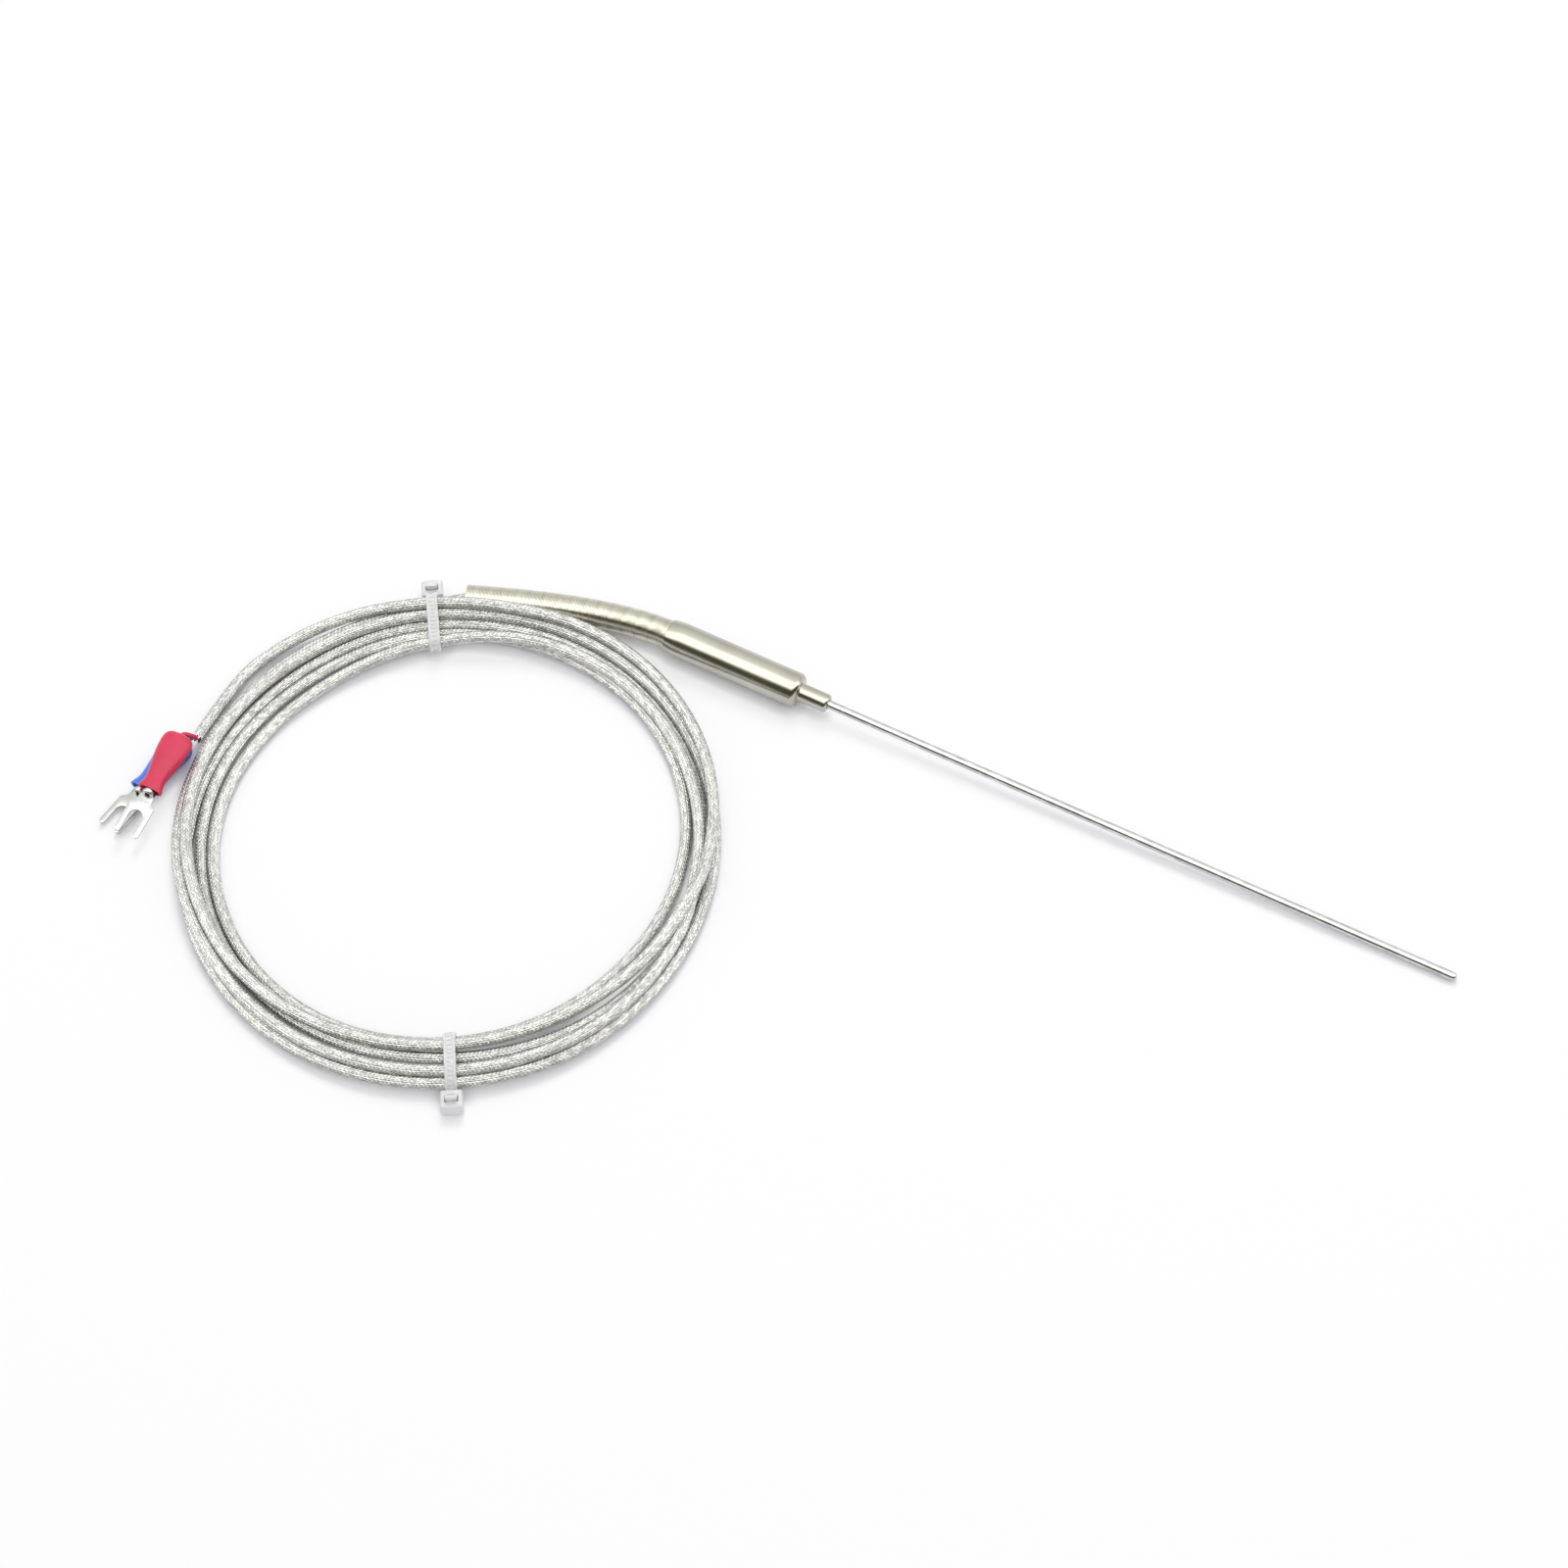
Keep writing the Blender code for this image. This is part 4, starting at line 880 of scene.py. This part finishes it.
def makeTie(name, angle):
    mat = mats["clearNylon"]
    centres = turnsAt(angle)
    place = Matrix.Translation(coilMiddle) @ Matrix.Rotation(radians(angle), 4, "Z")
    loop = hullLoop(centres, leadRadius + tie["play"], tie["spacing"])
    count = len(loop)
    half, thick, edge = tie["width"] / 2, tie["thickness"], tie["edge"]
    groove, depth = tie["channel"]
    section = [(-half, 0.0), (-half, thick - edge), (-half + edge, thick), (-groove - 0.0001, thick),
               (-groove, thick - depth), (groove, thick - depth), (groove + 0.0001, thick),
               (half - edge, thick), (half, thick - edge), (half, 0.0)]
    vertices, normals = [], []
    for k in range(count):
        along = (loop[(k + 1) % count] - loop[k - 1]).normalized()
        out = Vector((along.y, -along.x, 0.0))
        normals.append(out)
        for across, up in section:
            p = loop[k] + out * up
            vertices.append(Vector((p.x, across, max(0.00002, p.y))))
    strap = outward(meshObject(name + "_strap", vertices, ringFaces(count, len(section), True), mat), 30.0)
    tooth = toothObject()
    pitch = max(1, round(tie["toothPitch"] / tie["spacing"]))
    clearOfFloor = 0.0004
    chosen = [k for k in range(0, count, pitch) if loop[k].y + normals[k].y * thick > clearOfFloor]
    seats = [loop[k] + normals[k] * (thick - depth) for k in chosen]
    line = lineObject(name + "_teeth", [(seat.x, 0.0, seat.y) for seat in seats])
    turns = line.data.attributes.new("turn", "FLOAT_VECTOR", "POINT")
    across = Vector((0.0, 1.0, 0.0))
    for slot, k in enumerate(chosen):
        up = Vector((normals[k].x, 0.0, normals[k].y))
        turns.data[slot].vector = Matrix((across, up.cross(across), up)).transposed().to_euler()[:]
    modifier = line.modifiers.new("teeth", "NODES")
    modifier.node_group = teethTree
    setInputs(modifier, {"Tooth": tooth, "Material": mat})
    teeth = bakeModifiers(line)
    bpy.data.objects.remove(tooth, do_unlink=True)
    outer = max(r for r, z in centres) + leadRadius + tie["play"] + thick * 0.6
    size = tie["head"]
    middle = Vector((outer + size[0] / 2, 0.0, size[2] / 2 + 0.00002))
    head = block(name + "_head", size, middle, mat, tie["headBevel"])
    cutter = block(name + "_cut", (tie["slot"][0], tie["slot"][1], size[2] * 2), middle, mat, 0.0001)
    cut = head.modifiers.new("slot", "BOOLEAN")
    cut.operation = "DIFFERENCE"
    cut.solver = "EXACT"
    cut.object = cutter
    head = outward(bakeModifiers(head), 35.0)
    bpy.data.objects.remove(cutter, do_unlink=True)
    stubHeight = size[2] + tie["stub"]
    stub = block(name + "_stub", (thick, tie["width"], stubHeight - 0.0006),
                 middle + Vector((0.0, 0.0, tie["stub"] / 2)), mat, 0.00015)
    pawl = block(name + "_pawl", (0.0005, tie["width"] * 0.8, 0.0012),
                 middle + Vector((thick / 2 + 0.00012, 0.0, size[2] / 2 - 0.0008)), mat, 0.0001)
    rungs = []
    for k in range(3):
        rung = block(f"{name}_rung{k}", (0.00016, tie["width"] * 0.7, 0.00034),
                     middle + Vector((-thick / 2, 0.0, size[2] / 2 + 0.00035 + 0.0005 * k)), mat, 0.00006)
        rungs.append(rung)
    piece = joinInto(strap, [teeth, head, stub, pawl, *rungs])
    piece.name = name + "_nylon"
    piece.data.transform(place)
    piece.data.update()
    return piece


tiePieces = {name: makeTie(name, angle) for name, angle in lead["tieAngles"].items()}
print("ties closed")

terminal = {
    "length": 0.0145,
    "sections": (                          # share of its length, half width, half height
        (0.00, 0.00235, 0.00130),
        (0.025, 0.00290, 0.00170),
        (0.07, 0.00335, 0.00196),
        (0.14, 0.00357, 0.00206),
        (0.31, 0.00352, 0.00206),
        (0.45, 0.00325, 0.00202),
        (0.59, 0.00284, 0.00196),
        (0.72, 0.00248, 0.00190),
        (0.82, 0.00232, 0.00186),
        (0.90, 0.00248, 0.00184),
        (0.96, 0.00278, 0.00182),
        (1.00, 0.00288, 0.00178),
    ),
    "wall": 0.00055,
    "funnelBore": 0.0015,
    "dent": (0.74, 0.0015, 0.0011, 0.00032),   # share of the length, its size along and across, its depth
    "barrelRadius": 0.0013,
    "barrelBore": 0.0007,
    "barrelLength": 0.0065,
    "thickness": 0.0008,
    "width": 0.0058,
    "neckWidth": 0.0034,
    "neckLength": 0.0022,
    "tongueLength": 0.0112,
    "slotWidth": 0.0032,
    "slotLength": 0.0062,
    "tipChamfer": 0.0005,
    "drop": 0.0009,
    "places": {
        "blue": {"rear": (-0.0849, -0.0716, 0.0021), "heading": -99.0, "slope": 0.0, "roll": 0.0, "side": -1},
        "red": {"rear": (-0.0843, -0.0722, 0.0066), "heading": -88.0, "slope": -4.0, "roll": -8.0, "side": 1},
    },
    "wireRadius": 0.00055,
    "bareRadius": 0.00025,
}


def terminalPlace(spec):
    return (Matrix.Translation(fromRear(*spec["rear"])) @ Matrix.Rotation(radians(spec["heading"]), 4, "Z")
            @ Matrix.Rotation(-radians(spec["slope"]), 4, "Y") @ Matrix.Rotation(radians(spec["roll"]), 4, "X"))


def makeInsulator(colour, spec):
    place = terminalPlace(spec)
    segments, steps = 48, 64
    length, wall = terminal["length"], terminal["wall"]
    dentAt, dentLong, dentWide, dentDeep = terminal["dent"]
    vertices, rows = [], 0

    def oval(x, width, height, dented):
        for k in range(segments):
            angle = 2 * pi * k / segments
            y, z = width * cos(angle), height * sin(angle)
            if dented:
                sink = dentDeep * exp(-((x - length * dentAt) / dentLong) ** 2 - (y / dentWide) ** 2)
                z -= sink if z > 0 else -sink * 0.6
            vertices.append(place @ Vector((x, y, z)))

    for k in range(steps + 1):
        share = (k / steps) ** 1.15 if k < steps else 1.0
        oval(length * share, *easedRow(terminal["sections"], share), True)
        rows += 1
    mouthWide, mouthHigh = easedRow(terminal["sections"], 1.0)
    bore = terminal["barrelRadius"] + 0.00015
    funnel = terminal["funnelBore"]
    barrelRear = length - terminal["barrelLength"]
    # the mouth's rim, the bore round the barrel and the funnel behind it
    inner = ((length + 0.0001, mouthWide - 0.00015, mouthHigh - 0.00015),
             (length, mouthWide - wall, mouthHigh - 0.0003), (length - 0.0016, 0.0021, bore + 0.00005),
             (length - 0.0030, bore, bore), (barrelRear, bore, bore),
             (barrelRear - 0.001, funnel, 0.0012), (0.0006, funnel, 0.0011),
             (0.0, funnel + 0.0004, 0.00122))
    for x, width, height in inner:
        oval(x, width, height, False)
        rows += 1
    piece = meshObject(f"insulator_{colour}_moulded", vertices, ringFaces(rows, segments, True),
                       mats[colour + "Vinyl"])
    return outward(piece, 50.0)


def forkOutline():
    t = terminal
    neck, half, slot = t["neckWidth"] / 2, t["width"] / 2, t["slotWidth"] / 2
    tip, chamfer = t["tongueLength"], t["tipChamfer"]
    shoulder = t["neckLength"] + (half - neck)
    floorOfSlot = tip - t["slotLength"]
    upper = [(0.0, neck), (t["neckLength"], neck)]
    for k in range(1, 6):
        share = k / 6
        upper.append((t["neckLength"] + (half - neck) * share * 1.3,
                      neck + (half - neck) * smoothStep(share, 0, 1)))
    upper += [(shoulder + 0.0004, half), (tip - chamfer * 1.6, half),
              (tip - chamfer * 0.5, half - chamfer * 0.25), (tip, half - chamfer),
              (tip, slot + chamfer * 0.7), (tip - chamfer * 0.4, slot + chamfer * 0.15),
              (tip - chamfer, slot)]
    arc = []
    for k in range(21):
        angle = radians(90.0 + 180.0 * k / 20)
        arc.append((floorOfSlot + slot + slot * cos(angle), slot * sin(angle)))
    return upper + arc + [(x, -y) for x, y in reversed(upper)]


def makeFork(colour, spec):
    t = terminal
    place = terminalPlace(spec)
    start = t["length"] + 0.00005
    outline = forkOutline()
    bm = bmesh.new()
    base = [bm.verts.new((start + x, y, -t["drop"] - t["thickness"] / 2)) for x, y in outline]
    face = bm.faces.new(base)
    raised = bmesh.ops.extrude_face_region(bm, geom=[face])
    bmesh.ops.translate(bm, vec=(0, 0, t["thickness"]),
                        verts=[item for item in raised["geom"] if isinstance(item, bmesh.types.BMVert)])
    bmesh.ops.recalc_face_normals(bm, faces=bm.faces)
    rims = [edge for edge in bm.edges if abs(edge.verts[0].co.z - edge.verts[1].co.z) < 1e-7]
    bmesh.ops.bevel(bm, geom=rims, offset=0.00012, segments=2, affect="EDGES", profile=0.5)
    bmesh.ops.triangulate(bm, faces=[f for f in bm.faces if len(f.verts) > 4])
    bm.transform(place)
    mesh = bpy.data.meshes.new("tongue")
    bm.to_mesh(mesh)
    bm.free()
    mesh.materials.append(mats["tinPlate"])
    tongue = outward(addObject(f"fork_{colour}_plated", mesh), 35.0)
    rear, front = t["length"] - t["barrelLength"], t["length"] + t["neckLength"] * 0.5
    r, b = t["barrelRadius"], t["barrelBore"]
    corners = [(rear, b, 0.00008), (rear, r, 0.00012), (front - 0.0003, r, 0.0002),
               (front, r - 0.0002, 0.00008), (front, b, 0.00008)]
    barrel = lathe("barrel", rounded(corners, 3), mats["tinPlate"], place, 48)
    return joinInto(tongue, [barrel])


def tube(name, points, radii, mat, sides=20):
    tangents = [(points[min(i + 1, len(points) - 1)] - points[max(i - 1, 0)]).normalized()
                for i in range(len(points))]
    normal = tangents[0].orthogonal().normalized()
    vertices = []
    for point, radius, tangent in zip(points, radii, tangents):
        normal = (normal - tangent * normal.dot(tangent)).normalized()
        other = tangent.cross(normal)
        for k in range(sides):
            angle = 2 * pi * k / sides
            vertices.append(point + (normal * cos(angle) + other * sin(angle)) * radius)
    return outward(meshObject(name, vertices, ringFaces(len(points), sides, False), mat), 50.0)


def makeConductor(colour, spec):
    t = terminal
    end, before = leadLine[-1], leadLine[-3]
    ahead = (end - before).normalized()
    across = Vector((-ahead.y, ahead.x, 0.0)).normalized()
    start = end - ahead * 0.0010 + across * spec["side"] * (t["wireRadius"] + 0.00005)
    place = terminalPlace(spec)
    strip = t["length"] - t["barrelLength"] - 0.0003
    funnel = place @ Vector((0.0005, 0.0, 0.0))
    into = (place @ Vector((strip, 0.0, 0.0)) - funnel).normalized()
    reach = (funnel - start).length
    bend = list(geometry.interpolate_bezier(start, start + ahead * reach * 0.4, funnel - into * reach * 0.4,
                                            funnel, 24))
    last = place @ Vector((strip, 0.0, 0.0))
    points = bend + [funnel.lerp(last, k / 4) for k in range(1, 5)]
    cover = tube(f"conductor_{colour}_sleeved", points, [t["wireRadius"]] * len(points), mats[colour + "Vinyl"])
    bareEnd = place @ Vector((t["length"] - 0.0003, 0.0, 0.0))
    strands = []
    for k in range(6):
        line = []
        for i in range(25):
            turn = 2 * pi * (k / 6 + i / 25 * 1.5)
            along = last.lerp(bareEnd, i / 24)
            side = place.to_3x3() @ Vector((0.0, cos(turn), sin(turn)))
            line.append(along + side * t["bareRadius"] * 0.62)
        strands.append(tube(f"strand_{colour}_{k}", line, [t["bareRadius"] * 0.36] * 25, mats["tinPlate"], 6))
    bare = joinInto(strands[0], strands[1:])
    bare.name = f"strands_{colour}"
    return cover, bare


insulators, forks, covers, bares = {}, {}, {}, {}
for colour, spec in terminal["places"].items():
    insulators[colour] = makeInsulator(colour, spec)
    forks[colour] = makeFork(colour, spec)
    covers[colour], bares[colour] = makeConductor(colour, spec)
print("terminals crimped")

# pieces inside the sleeve and sheath keep their solids and get their own finish
innerFinish = {
    "mineral_insulation": "pressedMineral",
    "potting_cement": "castCement",
    "hot_junction": "wireAlloy",
    "thermoelement_positive": "wireAlloy",
    "thermoelement_negative": "wireAlloy",
    "splice_positive": "tinPlate",
    "splice_negative": "tinPlate",
    "lead_core_positive": "redVinyl",
    "lead_core_negative": "blueVinyl",
}
for node, finish in innerFinish.items():
    obj = bpy.data.objects[node]
    obj.data.materials.clear()
    obj.data.materials.append(mats[finish])

studio = {
    "floorColour": (0.955, 0.955, 0.965),
    "contact": (0.0032, 4, 3.0),           # a contact shadow's reach in metres, its samples and its depth
    "floorGlow": 0.66,                     # share of the floor's look that no shadow reaches
    "worldColour": (0.970, 0.960, 1.0),
    "worldStrength": 0.70,
    # what metal sees, by degrees from straight up towards the camera's side
    "reflection": ((-180, (0.42, 0.42, 0.42)), (-95, (0.42, 0.42, 0.42)), (-70, (0.37, 0.37, 0.36)),
                   (-44, (0.48, 0.485, 0.465)), (-22, (0.60, 0.61, 0.57)), (-10, (1.0, 1.0, 0.97)),
                   (27, (1.0, 1.0, 0.97)), (37, (0.20, 0.19, 0.15)), (45, (0.045, 0.042, 0.027)),
                   (74, (0.045, 0.042, 0.030)), (86, (0.17, 0.17, 0.155)), (98, (0.40, 0.40, 0.40)),
                   (180, (0.42, 0.42, 0.42))),
    "reflectionStrength": 2.2,
    "lamps": {
        "windowKey": {"place": (-0.42, 0.88, 1.25), "size": 0.6, "watts": 11.0, "colour": (1.0, 0.99, 0.96)},
        "softFill": {"place": (0.7, -0.5, 1.3), "size": 1.4, "watts": 2.0, "colour": (1.0, 1.0, 1.0)},
    },
}


def makeFloor():
    bm = bmesh.new()
    bmesh.ops.create_grid(bm, x_segments=1, y_segments=1, size=3.0)
    mesh = bpy.data.meshes.new("floor")
    bm.to_mesh(mesh)
    bm.free()
    floorObj = addObject("floor", mesh)
    mat, shader = newMaterial("paperFloor", studio["floorColour"], 0.8)
    tree = mat.node_tree
    glow = addNode(tree, "ShaderNodeEmission", {0: (1.0, 1.0, 1.0, 1.0), 1: 1.0})
    path = addNode(tree, "ShaderNodeLightPath").outputs
    seen = mathNode(tree, "MAXIMUM", path["Is Camera Ray"],
                    mathNode(tree, "MAXIMUM", path["Is Glossy Ray"], path["Is Transmission Ray"]))
    # close under a piece the floor glows less, so contact shadows stay dark
    reach, samples, depth = studio["contact"]
    openness = addNode(tree, "ShaderNodeAmbientOcclusion", {"Distance": reach}, samples=samples)
    lit = mathNode(tree, "POWER", openness.outputs["AO"], depth)
    share = mathNode(tree, "MULTIPLY", mathNode(tree, "MULTIPLY", seen, studio["floorGlow"]), lit)
    mix = addNode(tree, "ShaderNodeMixShader", {0: share, 1: shader.outputs[0], 2: glow.outputs[0]})
    tree.links.new(mix.outputs[0], tree.nodes["Material Output"].inputs["Surface"])
    mesh.materials.append(mat)


def makeWorld():
    world = bpy.data.worlds.new("studio")
    studioScene.world = world
    world.use_nodes = True
    tree = world.node_tree
    plain = tree.nodes["Background"]
    plain.inputs[0].default_value = (*studio["worldColour"], 1.0)
    plain.inputs[1].default_value = studio["worldStrength"]
    direction = addNode(tree, "ShaderNodeTexCoord").outputs["Generated"]
    az = radians(camera["azimuth"])
    towards = vectorNode(tree, "DOT_PRODUCT", direction, (sin(az), -cos(az), 0.0))
    upwards = addNode(tree, "ShaderNodeSeparateXYZ", {0: direction}).outputs[2]
    place = mathNode(tree, "MULTIPLY_ADD", mathNode(tree, "ARCTAN2", towards, upwards), 1.0 / (2 * pi), 0.5)
    stops = [(0.5 + angle / 360.0, colour) for angle, colour in studio["reflection"]]
    mirrored = addNode(tree, "ShaderNodeBackground", {0: rampNode(tree, place, stops),
                                                      1: studio["reflectionStrength"]})
    white = addNode(tree, "ShaderNodeBackground", {0: (1.0, 1.0, 1.0, 1.0)})
    path = addNode(tree, "ShaderNodeLightPath").outputs
    lit = addNode(tree, "ShaderNodeMixShader", {0: path["Is Glossy Ray"], 1: plain.outputs[0],
                                                2: mirrored.outputs[0]})
    seen = mathNode(tree, "MAXIMUM", path["Is Camera Ray"], path["Is Transmission Ray"])
    whole = addNode(tree, "ShaderNodeMixShader", {0: seen, 1: lit.outputs[0], 2: white.outputs[0]})
    tree.links.new(whole.outputs[0], tree.nodes["World Output"].inputs["Surface"])


def makeLamps():
    for name, spec in studio["lamps"].items():
        data = bpy.data.lights.new(name, "AREA")
        data.size = spec["size"]
        data.energy = spec["watts"]
        data.color = spec["colour"]
        obj = addObject(name, data)
        obj.visible_glossy = False         # metal mirrors the world's bands, not the lamps
        obj.location = spec["place"]
        obj.rotation_euler = (Vector((-0.05, -0.02, 0.0)) - Vector(spec["place"])).to_track_quat(
            "-Z", "Y").to_euler()


makeFloor()
makeWorld()
makeLamps()
studioScene.view_settings.view_transform = "Standard"
print("studio lit")

# what each piece stands for, rides on and is finished in
slots = [(leadCore, "steel_braid"), (springPiece, "spring_steel"), (sleevePiece, "sleeve_steel"),
         (sheathPiece, "sheath_steel")]
slots += [(piece, "steel_braid") for piece in leadRibbons]
slots += [(piece, "natural_nylon") for piece in tiePieces.values()]
for colour in terminal["places"]:
    slots += [(insulators[colour], colour + "_insulation"), (covers[colour], colour + "_insulation"),
              (forks[colour], "tinned_copper"), (bares[colour], "tinned_copper")]
    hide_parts("insulator_" + colour)
    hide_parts("fork_terminal_" + colour)
    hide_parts("conductor_" + colour)
for piece, slot in slots:
    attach(piece, "root")
for name, piece in tiePieces.items():
    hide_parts(name)
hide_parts("lead_run", "lead_coil", "lead_tail")
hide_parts("strain_relief_spring")
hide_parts("transition_sleeve")
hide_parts("probe_sheath")
